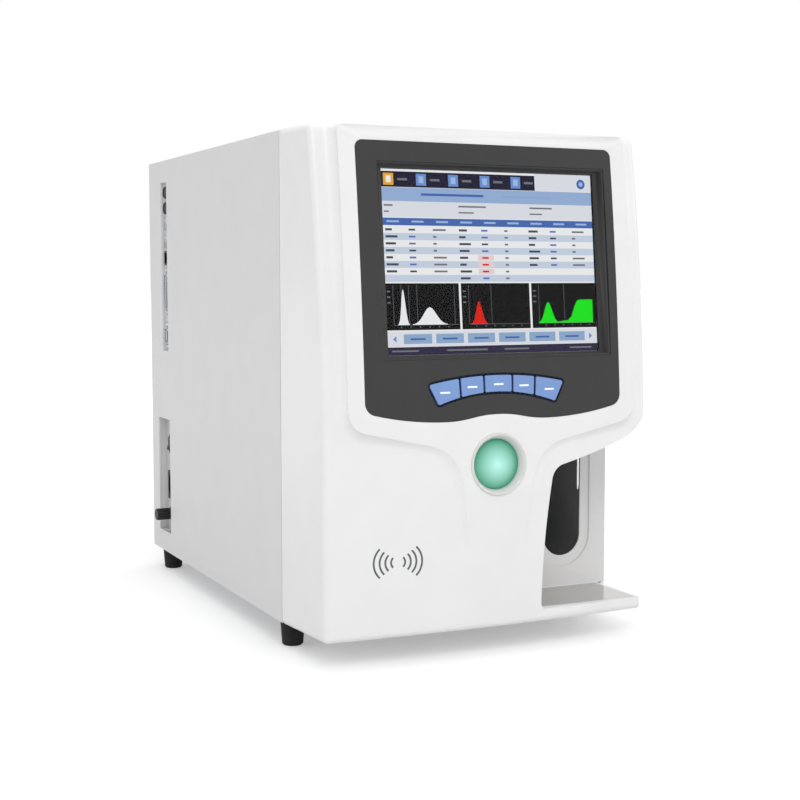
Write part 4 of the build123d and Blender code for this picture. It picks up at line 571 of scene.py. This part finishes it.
@dataclass
class Casework:
    """Every CAD node's finish, and which of them get a cleaned copy."""

    finishes: dict[str, Finish] = field(default_factory=dict)
    own_finishes: dict[str, Finish] = field(default_factory=dict)
    edges: dict[str, float] = field(default_factory=dict)

    def __post_init__(self) -> None:
        """Fill in the finishes by the record's material slots."""
        self.finishes = {
            "white_plastic": WHITE_MOULDING,
            "grey_paint": GREY_PAINT,
            "zinc_sheet": ZINC_SHEET,
            "dark_surround": DARK_SURROUND,
            "black_plastic": BLACK_PLASTIC,
            "display_glass": DISPLAY_GLASS,
            "display_panel": PANEL_METAL,
            "key_blue": KEY_BLUE,
            "key_navy": KEY_NAVY,
            "ring_silver": RING_SILVER,
            "bay_grey": BAY_GREY,
            "tray_steel": TRAY_STEEL,
            "probe_steel": PROBE_STEEL,
            "machined_alloy": MACHINED_ALLOY,
            "circuit_board": CIRCUIT_BOARD,
            "rubber": RUBBER,
            "port_metal": PORT_METAL,
            "clear_acrylic": CLEAR_ACRYLIC,
            "tan_plastic": TAN_PLASTIC,
        }
        # The port and power recesses get the darker paint: painted shade.
        self.own_finishes = {
            "port_recess": RECESS_SHADED_PAINT,
            "power_recess": RECESS_SHADED_PAINT,
        }
        self.edges = {
            "left_side_cover": 0.4,
            "right_side_cover": 0.4,
            "top_cover": 0.4,
            "rear_panel": 0.3,
        }

    def build(self, frame: dict, cabinet: CabinetFrame) -> None:
        """Dress every node.

        Args:
            frame: The loaded frame.
            cabinet: The cabinet's place.
        """
        slots = {part["node"]: part["material_slot"] for part in frame["record"]["subparts"]}
        bodies = frame["record"]["behaviour"]["bodies"]
        body_of = {node: body for body, nodes in bodies.items() for node in nodes}
        for node in sorted(frame["nodes"]):
            slot = slots[node]
            finish = self.own_finishes.get(node) or self.finishes.get(slot) or self.start_finish(cabinet)
            Skin(node, body_of[node], finish, slot, self.edges.get(node, 0.0)).build(frame)
        LOG.info("dressed %d nodes", len(slots))

    def start_finish(self, cabinet: CabinetFrame) -> Finish:
        """Finish of the start button, with its painted highlight centred on the button's front."""
        low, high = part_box("start_button")
        centre = tuple((a + b) / 2 for a, b in zip(low, high))
        # Pale in the middle and deep green at the edge: painted highlight and painted shade on the dome, plus
        # a painted glow.
        return PaintedLightDomeFinish(
            "start_green",
            display_colour(176, 236, 222),
            0.3,
            0.04,
            mottle=0.0,
            relief=0.04,
            coat=0.4,
            centre=(centre[0], low[1], centre[2]),
            radius=0.0225,
            shaded_edge_colour=display_colour(34, 138, 104),
            glow=0.22,
        )


# Display picture
class Ink(Enum):
    """Colours of the display's picture, as display values."""

    WHITE = (250, 251, 253)
    PALE = (232, 235, 243)
    ROW = (208, 220, 238)
    TITLE = (156, 184, 226)
    HEADER = (72, 110, 184)
    NAVY = (28, 26, 52)
    STATUS = (48, 42, 70)
    BUTTON = (148, 178, 214)
    ORANGE = (244, 178, 48)
    TILE = (112, 152, 222)
    TILE_LIGHT = (168, 196, 238)
    BLACK = (4, 4, 4)
    GREY = (120, 122, 130)
    TEXT = (70, 76, 92)
    BLUE_TEXT = (96, 120, 200)
    RED = (232, 24, 10)
    GREEN = (14, 240, 20)
    WARM = (240, 222, 224)


@dataclass
class DisplayPicture:
    """The generic results page on the display, as flat patches just behind the glass."""

    console: ConsoleFace
    cabinet: CabinetFrame
    centre_x: float = 5.0
    low_z: float = 240.8
    high_z: float = 409.6
    width: float = 211.0
    height: float = 160.0
    depth: float = 9.77
    points: list = field(default_factory=list)
    faces: list = field(default_factory=list)
    inks: list = field(default_factory=list)

    def plane_point(self, across: float, down: float, layer: int) -> Vector:
        """A point of the picture, by its share across and down.

        Args:
            across: From 0 at the left to 1 at the right.
            down: From 0 at the top to 1 at the bottom.
            layer: How many thin layers it lies in front of the page.

        Returns:
            The point in the row's frame.
        """
        low_y, high_y = self.console.y(self.low_z), self.console.y(self.high_z)
        tilt = math.atan2(high_y - low_y, self.high_z - self.low_z)
        x = self.centre_x + (across - 0.5) * self.width
        rise = (0.5 - down) * self.height
        depth = self.depth - 0.002 * layer
        y = (low_y + high_y) / 2 + rise * math.sin(tilt) + depth * math.cos(tilt)
        z = (self.low_z + self.high_z) / 2 + rise * math.cos(tilt) - depth * math.sin(tilt)
        return self.cabinet.at(x, y, z)

    def patch(self, outline: list[tuple[float, float]], ink: Ink, layer: int) -> None:
        """Add a flat patch.

        Args:
            outline: Its corners, as shares across and down, clockwise as seen.
            ink: Its colour.
            layer: Its layer above the page.
        """
        first = len(self.points)
        self.points += [self.plane_point(across, down, layer) for across, down in outline]
        self.faces.append(tuple(reversed(range(first, len(self.points)))))
        self.inks.append(ink)

    def bar(self, left: float, top: float, right: float, bottom: float, ink: Ink, layer: int = 1) -> None:
        """Add an upright rectangle."""
        self.patch([(left, top), (right, top), (right, bottom), (left, bottom)], ink, layer)

    def header(self) -> None:
        """Toolbar, title band, notes and the table's head."""
        self.bar(0, 0, 1, 1, Ink.WHITE, 0)
        self.bar(0, 0.012, 0.72, 0.096, Ink.NAVY)
        self.bar(0.72, 0.0, 1, 0.096, Ink.PALE)
        for index in range(5):
            left = 0.012 + index * 0.148
            self.bar(left, 0.022, left + 0.046, 0.086, Ink.ORANGE if index == 0 else Ink.TILE, 2)
            self.bar(left + 0.012, 0.036, left + 0.034, 0.072, Ink.TILE_LIGHT if index else Ink.WHITE, 3)
            self.bar(left + 0.064, 0.048, left + 0.108, 0.060, Ink.GREY, 2)
        self.disc(0.95, 0.052, 0.021, Ink.HEADER, 2)
        self.disc(0.95, 0.052, 0.010, Ink.TILE_LIGHT, 3)
        self.bar(0, 0.098, 1, 0.172, Ink.TITLE)
        self.bar(0.18, 0.127, 0.47, 0.140, Ink.HEADER, 2)
        self.bar(0.56, 0.130, 0.80, 0.139, Ink.BUTTON, 2)
        self.bar(0, 0.172, 1, 0.258, Ink.PALE)
        for left, right in ((0.01, 0.05), (0.35, 0.48), (0.69, 0.80)):
            self.bar(left, 0.190, right, 0.199, Ink.GREY, 2)
            self.bar(left, 0.224, left + (right - left) * 0.55, 0.232, Ink.GREY, 2)
        self.bar(0, 0.262, 1, 0.302, Ink.HEADER)
        for index in range(9):
            left = 0.02 + index * 0.112
            self.bar(left, 0.276, left + 0.055, 0.286, Ink.TILE_LIGHT, 2)

    def disc(self, across: float, down: float, radius: float, ink: Ink, layer: int) -> None:
        """Add a round patch, with its radius as a share of the width."""
        count = 24
        tall = self.width / self.height
        outline = [
            (
                across + radius * math.sin(2 * math.pi * index / count),
                down - radius * tall * math.cos(2 * math.pi * index / count),
            )
            for index in range(count)
        ]
        self.patch(outline, ink, layer)

    def table(self) -> None:
        """Eight rows in three groups of a name, a value and a unit."""
        top, step = 0.306, 0.0375
        for row in range(8):
            high = top + row * step
            self.bar(0, high, 1, high + step, Ink.ROW if row % 2 else Ink.WHITE)
            for group, start in enumerate((0.012, 0.348, 0.68)):
                if group != 1 and row > (6 if group == 0 else 5):
                    continue
                middle = high + step * 0.5
                name_end = start + 0.03 + 0.008 * ((row * 3 + group) % 4)
                self.bar(start, middle - 0.006, name_end, middle + 0.006, Ink.TEXT, 2)
                value = start + 0.105
                ink = Ink.BLUE_TEXT if (row + group) % 3 else Ink.TEXT
                if group == 1 and 3 < row < 7:
                    self.bar(value - 0.02, high + 0.004, value + 0.055, high + step - 0.004, Ink.WARM, 2)
                    ink = Ink.RED
                self.bar(value, middle - 0.005, value + 0.03, middle + 0.005, ink, 3)
                unit = start + 0.215
                wide = 0.06 if row in (0, 4, 5, 6) and group != 1 else 0.016
                self.bar(unit, middle - 0.005, unit + wide, middle + 0.005, Ink.GREY, 3)

    def curve(
        self, box: tuple[float, float, float, float], shape: list[tuple[float, float]], ink: Ink
    ) -> None:
        """Fill a curve inside a plot.

        Args:
            box: The plot's left, top, right and bottom.
            shape: The curve's points, as shares across the plot and up from its base.
            ink: The fill's colour.
        """
        left, top, right, base = box
        for (a, high_a), (b, high_b) in zip(shape, shape[1:]):
            x_a, x_b = left + a * (right - left), left + b * (right - left)
            y_a, y_b = base - high_a * (base - top), base - high_b * (base - top)
            self.patch([(x_a, y_a), (x_b, y_b), (x_b, base), (x_a, base)], ink, 4)

    def plots(self) -> None:
        """Three black plots with their filled curves."""

        def hump(middle: float, half: float, height: float, count: int = 14) -> list[tuple[float, float]]:
            """A rounded hump as curve points."""
            steps = [index / count * 2 - 1 for index in range(count + 1)]
            return [(middle + half * s, height * math.exp(-((s * 2.0) ** 2)) + 0.004) for s in steps]

        top, bottom, base = 0.614, 0.866, 0.838
        for index, (left, right) in enumerate(((0.0, 0.336), (0.346, 0.672), (0.682, 1.0))):
            self.bar(left, top, right, bottom, Ink.BLACK, 2)
            self.bar(left + 0.036, base, right - 0.006, base + 0.002, Ink.GREY, 3)
            self.bar(left + 0.034, top + 0.01, left + 0.0355, base, Ink.GREY, 3)
            for tick in range(6):
                spot = left + 0.065 + tick * 0.043
                self.bar(spot, base + 0.008, spot + 0.004, base + 0.016, Ink.GREY, 3)
            for mark in range(3):
                high = top + 0.04 + mark * 0.03
                self.bar(left + 0.008, high, left + 0.022, high + 0.007, Ink.GREY, 3)
            box = (left, top, right, base)
            if index == 0:
                for line in (0.21, 0.31, 0.42, 0.93):
                    spot = left + line * (right - left)
                    self.bar(spot, top + 0.01, spot + 0.0015, base, Ink.GREY, 3)
                self.curve(box, hump(0.235, 0.075, 0.86), Ink.WHITE)
                self.curve(box, hump(0.59, 0.24, 0.42), Ink.WHITE)
            elif index == 1:
                spot = left + 0.43 * (right - left)
                self.bar(spot, top + 0.01, spot + 0.0015, base, Ink.GREY, 3)
                self.curve(box, hump(0.25, 0.12, 0.56), Ink.RED)
            else:
                spot = left + 0.5 * (right - left)
                self.bar(spot, top + 0.01, spot + 0.0015, base, Ink.GREY, 3)
                self.curve(box, hump(0.25, 0.16, 0.52), Ink.GREEN)
                rise = [(0.40, 0.03), (0.55, 0.06), (0.61, 0.16), (0.66, 0.40)]
                level = [(0.70, 0.54), (0.74, 0.58), (0.95, 0.58)]
                self.curve(box, rise + level, Ink.GREEN)

    def footer(self) -> None:
        """Row of buttons with a chevron at each end, and the status bar."""
        self.bar(0, 0.872, 1, 0.955, Ink.PALE)
        for index in range(6):
            left = 0.075 + index * 0.147
            self.bar(left, 0.888, left + 0.128, 0.940, Ink.BUTTON, 2)
            self.bar(left + 0.03, 0.910, left + 0.098, 0.920, Ink.HEADER, 3)
        for middle, turn in ((0.036, -1), (0.966, 1)):
            tip = middle + turn * 0.010
            tail = middle - turn * 0.006
            outline = [(tail, 0.896), (tip, 0.914), (tail, 0.932)]
            self.patch(outline if turn > 0 else outline[::-1], Ink.TILE, 2)
        self.bar(0, 0.957, 1, 1, Ink.STATUS)
        for left, right in ((0.02, 0.14), (0.27, 0.46), (0.54, 0.66), (0.86, 0.97)):
            self.bar(left, 0.974, right, 0.983, Ink.GREY, 2)

    def build(self) -> bpy.types.Object:
        """Make the picture's mesh with a colour on each patch.

        Returns:
            The picture, riding on the cabinet.
        """
        self.header()
        self.table()
        self.plots()
        self.footer()
        mesh = mesh_of("display_picture", self.points, self.faces)
        paint = mesh.color_attributes.new(PICTURE.attribute, "FLOAT_COLOR", "CORNER")
        for polygon, ink in zip(mesh.polygons, self.inks):
            colour = display_colour(*ink.value)
            for corner in polygon.loop_indices:
                paint.data[corner].color = colour
        mesh.materials.append(PICTURE.build())
        piece = new_object("display_picture", mesh)
        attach(piece, "cabinet")
        LOG.info("display picture with %d patches", len(self.faces))
        return piece


# Printed marks
@dataclass
class TapSymbol:
    """The printed tap symbol low on the left: four arcs on each side, facing outwards."""

    cabinet: CabinetFrame
    face: BowedFace
    middle_x: float = -95.5
    middle_z: float = 67.5
    proud: float = 0.04
    ink_depth: float = 0.03
    line_width: float = 1.7
    arc_steps: int = 14
    arc_flatness: float = 1.35

    def arc_band(self, side: int, offset: float, half_height: float, width: float) -> tuple[list, list]:
        """One arc as a thin band on the bowed face.

        Args:
            side: -1 for the left group, 1 for the right.
            offset: The arc's distance from the symbol's middle.
            half_height: Half its height.
            width: Its line's width.

        Returns:
            The band's points and faces.
        """
        steps = self.arc_steps
        radius = half_height * self.arc_flatness
        sweep = math.asin(half_height / radius)
        points, faces = [], []
        for index in range(steps + 1):
            angle = -sweep + 2 * sweep * index / steps
            for reach in (radius - width / 2, radius + width / 2):
                x = self.middle_x + side * (offset - radius + reach * math.cos(angle))
                z = self.middle_z + reach * math.sin(angle)
                points.append(self.cabinet.at(*self.face.point(x, z, self.proud)))
        for index in range(steps):
            first = 2 * index
            ring = (first, first + 1, first + 3, first + 2)
            faces.append(ring if side > 0 else ring[::-1])
        return points, faces

    def build(self) -> bpy.types.Object:
        """Make the symbol.

        Returns:
            The symbol, riding on the cabinet.
        """
        points, faces = [], []
        for side in (-1, 1):
            for offset, half in ((6.5, 4.2), (11.8, 6.8), (17.0, 9.6), (22.4, 12.6)):
                more, rings = self.arc_band(side, offset, half, self.line_width)
                first = len(points)
                points += more
                faces += [tuple(first + corner for corner in ring) for ring in rings]
        mesh = mesh_of("tap_symbol", points, faces)
        mesh.materials.append(PRINT_GREY.build())
        piece = new_object("tap_symbol", mesh)
        thick = piece.modifiers.new("ink", "SOLIDIFY")
        thick.thickness = self.ink_depth * MM
        thick.offset = -1
        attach(piece, "cabinet")
        LOG.info("tap symbol with %d patches", len(faces))
        return piece


@dataclass
class KeyMarks:
    """A short white dash on each soft key, printed on its curved face."""

    count: int = 5
    width: float = 0.0095
    height: float = 0.0016
    ink: float = 0.00003
    shift_down: float = 0.0005
    ray_start: float = 0.05

    def build(self) -> None:
        """Print the dash on every key, riding on that key."""
        for number in range(1, self.count + 1):
            skin = bpy.data.objects[f"function_key_{number}_skin"]
            tree = BVHTree.FromPolygons(
                [vertex.co.copy() for vertex in skin.data.vertices],
                [tuple(polygon.vertices) for polygon in skin.data.polygons],
            )
            low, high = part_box(f"function_key_{number}")
            middle_x = (low[0] + high[0]) / 2
            middle_z = (low[2] + high[2]) / 2 - self.shift_down
            piece = self.dash(tree, middle_x, middle_z, low[1] - self.ray_start, number)
            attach(piece, f"key_{number}")
        LOG.info("dashes on %d keys", self.count)

    def dash(
        self, tree: BVHTree, middle_x: float, middle_z: float, front_y: float, number: int
    ) -> bpy.types.Object:
        """One dash, laid on the key's face by rays from the front.

        Args:
            tree: The key's surface.
            middle_x: The key's middle.
            middle_z: The dash's height.
            front_y: A place in front of the key.
            number: The key's number.

        Returns:
            The dash.
        """
        columns, rows = 7, 2
        front, back = [], []
        for row in range(rows):
            for column in range(columns):
                x = middle_x + (column / (columns - 1) - 0.5) * self.width
                z = middle_z + (row / (rows - 1) - 0.5) * self.height
                spot, normal, _, _ = tree.ray_cast(Vector((x, front_y, z)), Vector((0, 1, 0)))
                front.append(spot + normal * self.ink)
                back.append(spot - normal * self.ink)
        faces = []
        total = rows * columns
        for column in range(columns - 1):
            a, b = column, column + 1
            c, d = b + columns, a + columns
            faces.append((a, b, c, d))
            faces.append((d + total, c + total, b + total, a + total))
            faces.append((a, a + total, b + total, b))
            faces.append((d, c, c + total, d + total))
        for a, d in ((0, columns), (columns - 1, total - 1)):
            end = (a, d, d + total, a + total)
            faces.append(end if a == 0 else end[::-1])
        mesh = mesh_of(f"key_mark_{number}", front + back, faces)
        mesh.materials.append(PRINT_WHITE.build())
        return new_object(f"key_mark_{number}", mesh)


# Repeats
@dataclass
class Repeat:
    """Copies of one small shape on many points, made by a node group and kept as a plain mesh."""

    name: str
    body: str
    slot: str
    finish: Finish
    shape: bpy.types.Mesh
    points: list[Vector]
    scale: float = 1.0

    def group(self) -> bpy.types.NodeTree:
        """The node group: instances on points, made real, with the finish set.

        Returns:
            The node group.
        """
        tree = bpy.data.node_groups.new(f"{self.name}_nodes", "GeometryNodeTree")
        tree.interface.new_socket("Points", in_out="INPUT", socket_type="NodeSocketGeometry")
        tree.interface.new_socket("Shape", in_out="INPUT", socket_type="NodeSocketObject")
        tree.interface.new_socket("Scale", in_out="INPUT", socket_type="NodeSocketFloat")
        tree.interface.new_socket("Finish", in_out="INPUT", socket_type="NodeSocketMaterial")
        tree.interface.new_socket("Result", in_out="OUTPUT", socket_type="NodeSocketGeometry")
        source = tree.nodes.new("NodeGroupInput")
        target = tree.nodes.new("NodeGroupOutput")
        shape = tree.nodes.new("GeometryNodeObjectInfo")
        copies = tree.nodes.new("GeometryNodeInstanceOnPoints")
        real = tree.nodes.new("GeometryNodeRealizeInstances")
        paint = tree.nodes.new("GeometryNodeSetMaterial")
        tree.links.new(source.outputs["Shape"], shape.inputs["Object"])
        tree.links.new(source.outputs["Points"], copies.inputs["Points"])
        tree.links.new(shape.outputs["Geometry"], copies.inputs["Instance"])
        tree.links.new(source.outputs["Scale"], copies.inputs["Scale"])
        tree.links.new(copies.outputs["Instances"], real.inputs["Geometry"])
        tree.links.new(real.outputs["Geometry"], paint.inputs["Geometry"])
        tree.links.new(source.outputs["Finish"], paint.inputs["Material"])
        tree.links.new(paint.outputs["Geometry"], target.inputs["Result"])
        return tree

    def build(self) -> bpy.types.Object:
        """Make the repeated piece.

        Returns:
            The piece, riding on its body.
        """
        seed = new_object(f"{self.name}_seed", self.shape)
        piece = new_object(self.name, mesh_of(self.name, self.points, []))
        tree = self.group()
        modifier = piece.modifiers.new("repeat", "NODES")
        modifier.node_group = tree
        values = {"Shape": seed, "Scale": self.scale, "Finish": self.finish.build()}
        for item in tree.interface.items_tree:
            if item.in_out == "INPUT" and item.name in values:
                modifier[item.identifier] = values[item.name]
        settle(piece)
        bpy.data.objects.remove(seed)
        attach(piece, self.body)
        LOG.info("%s: %d copies", self.name, len(self.points))
        return piece


def prism_mesh(
    name: str, outline: list[tuple[float, float]], axis: int, low: float, high: float
) -> bpy.types.Mesh:
    """A closed prism along one axis, in millimetres.

    Args:
        name: The mesh's name.
        outline: Its outline on the two other axes, in their order.
        axis: 0 for X, 1 for Y, 2 for Z.
        low: Its lower end.
        high: Its higher end.

    Returns:
        The mesh, with its faces outwards.
    """
    points = []
    for end in (low, high):
        for a, b in outline:
            spot = [a, b]
            spot.insert(axis, end)
            points.append(Vector(spot) * MM)
    count = len(outline)
    faces = [tuple(reversed(range(count))), tuple(range(count, 2 * count))]
    for index in range(count):
        after = (index + 1) % count
        faces.append((index, after, after + count, index + count))
    mesh = mesh_of(name, points, faces)
    work = bmesh.new()
    work.from_mesh(mesh)
    bmesh.ops.recalc_face_normals(work, faces=work.faces)
    work.to_mesh(mesh)
    work.free()
    return mesh


@dataclass
class SmallParts:
    """Contacts of the ports, and black crosses on the rear screws as painted shade in their cross recesses.
    """

    cabinet: CabinetFrame
    port_y: float = 370.5
    mouth_x: float = -164.5
    contact_inset: float = 1.2
    contact_radius: float = 0.42
    contact_length: float = 0.4
    contact_corners: int = 10
    cross_arm: float = 1.9
    cross_half_width: float = 0.32
    cross_depth: float = 0.3
    cross_proud: float = 0.02
    screw_side: float = 157.5
    screw_heights: tuple[float, float, float] = (30.0, 220.0, 410.0)
    wide_z: float = 295.5
    narrow_z: float = 246.3
    pin_pitch: float = 2.76
    row_half: float = 1.42

    def pin_points(self) -> list[Vector]:
        """Middle of every contact's mouth in the two D-shaped ports."""
        points = []
        for middle, counts in ((self.wide_z, (13, 12)), (self.narrow_z, (5, 4))):
            for side, count in zip((-1, 1), counts):
                for index in range(count):
                    z = middle + (index - (count - 1) / 2) * self.pin_pitch
                    y = self.port_y + side * self.row_half
                    points.append(self.cabinet.at(self.mouth_x + self.contact_inset, y, z))
        return points

    def screw_points(self) -> list[Vector]:
        """Middle of the rear screws' heads."""
        _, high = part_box("assembly_screws")
        spots = [
            self.cabinet.at(sign * self.screw_side, 0, z) for sign in (-1, 1) for z in self.screw_heights
        ]
        return [Vector((spot.x, high[1], spot.z)) for spot in spots]

    def build(self) -> None:
        """Make the contacts, and the black crosses that paint the shade in the screws' cross recesses."""
        turns = [math.tau * index / self.contact_corners for index in range(self.contact_corners)]
        radius = self.contact_radius
        ring = [(radius * math.cos(turn), radius * math.sin(turn)) for turn in turns]
        contact = prism_mesh("contact_shape", ring, 0, 0.0, self.contact_length)
        Repeat("port_contacts", "cabinet", "port_metal", CONTACT_GOLD, contact, self.pin_points()).build()
        arm, half = self.cross_arm, self.cross_half_width
        cross = [
            (-half, -arm),
            (half, -arm),
            (half, -half),
            (arm, -half),
            (arm, half),
            (half, half),
            (half, arm),
            (-half, arm),
            (-half, half),
            (-arm, half),
            (-arm, -half),
            (-half, -half),
        ]
        # Each cross is a black prism over the screw head, standing for the shade in its cross recess: painted
        # shade.
        recess = prism_mesh("recess_shade_shape", cross, 1, -self.cross_depth, self.cross_proud)
        Repeat("screw_recesses", "cabinet", "probe_steel", BLACK_PLASTIC, recess, self.screw_points()).build()


# Studio
@dataclass
class Studio:
    """Floor, soft lights and the camera at the photograph's viewing angle."""

    cabinet: CabinetFrame
    camera_at: tuple[float, float, float] = (-608.9, -1196.2, 311.5)
    focal: float = 64.44
    pitch: float = 4.908
    yaw: float = 25.128

    def camera(self) -> None:
        """Place the camera."""
        data = bpy.data.cameras.new("camera")
        data.lens = self.focal
        data.sensor_width = 36.0
        data.clip_end = 100.0
        camera = bpy.data.objects.new("camera", data)
        bpy.context.scene.collection.objects.link(camera)
        camera.location = self.cabinet.at(*self.camera_at)
        camera.rotation_euler = (math.radians(90 - self.pitch), 0, -math.radians(self.yaw))
        bpy.context.scene.camera = camera

    def lamp(
        self,
        name: str,
        place: tuple[float, float, float],
        aim: tuple[float, float, float],
        size: float,
        power: float,
    ) -> None:
        """A soft square lamp.

        Args:
            name: Its name.
            place: Where it stands, in metres.
            aim: The point it faces.
            size: Its side.
            power: Its power in watts.
        """
        data = bpy.data.lights.new(name, "AREA")
        data.shape = "SQUARE"
        data.size = size
        data.energy = power
        lamp = bpy.data.objects.new(name, data)
        bpy.context.scene.collection.objects.link(lamp)
        lamp.location = place
        lamp.rotation_euler = (Vector(aim) - Vector(place)).to_track_quat("-Z", "Y").to_euler()

    def seen_rays(self, tree: bpy.types.NodeTree) -> bpy.types.NodeSocket:
        """A value of 1 on the rays of the camera, of reflections and through glass.

        Args:
            tree: The node tree that asks for it.

        Returns:
            The socket that gives the value.
        """
        paths = tree.nodes.new("ShaderNodeLightPath")
        total = paths.outputs["Is Camera Ray"]
        for kind in ("Is Glossy Ray", "Is Transmission Ray"):
            higher = tree.nodes.new("ShaderNodeMath")
            higher.operation = "MAXIMUM"
            tree.links.new(total, higher.inputs[0])
            tree.links.new(paths.outputs[kind], higher.inputs[1])
            total = higher.outputs["Value"]
        return total

    def world(self) -> None:
        """An even pale world, white where the camera or a reflection sees it."""
        world = bpy.data.worlds.new("studio")
        world.use_nodes = True
        tree = world.node_tree
        back = tree.nodes["Background"]
        strength = tree.nodes.new("ShaderNodeMapRange")
        strength.inputs["To Min"].default_value = 0.62
        strength.inputs["To Max"].default_value = 1.0
        tree.links.new(self.seen_rays(tree), strength.inputs["Value"])
        tree.links.new(strength.outputs["Result"], back.inputs["Strength"])
        back.inputs["Color"].default_value = (1.0, 1.0, 1.0, 1.0)
        bpy.context.scene.world = world

    def floor(self) -> None:
        """A pale floor that keeps the shadow and meets the white background."""
        reach = 30.0
        corners = [(-reach, -reach, 0), (reach, -reach, 0), (reach, reach, 0), (-reach, reach, 0)]
        mesh = mesh_of("studio_floor", corners, [(0, 1, 2, 3)])
        material = STUDIO_FLOOR.build()
        tree = material.node_tree
        shader = tree.nodes["Principled BSDF"]
        shader.inputs["Specular IOR Level"].default_value = 0.1
        where = tree.nodes.new("ShaderNodeTexCoord")
        away = tree.nodes.new("ShaderNodeVectorMath")
        away.operation = "LENGTH"
        tree.links.new(where.outputs["Object"], away.inputs[0])
        fade = tree.nodes.new("ShaderNodeMapRange")
        fade.inputs["From Min"].default_value = 0.4
        fade.inputs["From Max"].default_value = 2.0
        fade.inputs["To Min"].default_value = 0.3
        fade.inputs["To Max"].default_value = 1.0
        tree.links.new(away.outputs["Value"], fade.inputs["Value"])
        glow = tree.nodes.new("ShaderNodeMath")
        glow.operation = "MULTIPLY"
        tree.links.new(fade.outputs["Result"], glow.inputs[1])
        tree.links.new(self.seen_rays(tree), glow.inputs[0])
        shader.inputs["Emission Color"].default_value = (1.0, 1.0, 1.0, 1.0)
        tree.links.new(glow.outputs["Value"], shader.inputs["Emission Strength"])
        mesh.materials.append(material)
        floor = new_object("studio_floor", mesh)

    def build(self) -> None:
        """Set up the whole studio."""
        scene = bpy.context.scene
        scene.view_settings.view_transform = "Standard"
        self.camera()
        self.world()
        self.floor()
        self.lamp("key_lamp", (-1.2, -2.6, 2.4), (0, -0.1, 0.2), 1.6, 34)
        self.lamp("side_lamp", (2.4, -1.2, 1.6), (0, 0, 0.2), 1.4, 12)
        self.lamp("top_lamp", (0, 0.3, 3.0), (0, 0, 0.2), 2.0, 16)
        LOG.info("studio set up")


def main() -> None:
    """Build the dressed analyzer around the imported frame."""
    logging.basicConfig(level=logging.INFO, format="%(message)s")
    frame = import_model()
    cabinet = CabinetFrame()
    Casework().build(frame, cabinet)
    DisplayPicture(ConsoleFace(), cabinet).build()
    TapSymbol(cabinet, BowedFace()).build()
    KeyMarks().build()
    SmallParts(cabinet).build()
    Studio(cabinet).build()


if __name__ == "__main__":
    main()
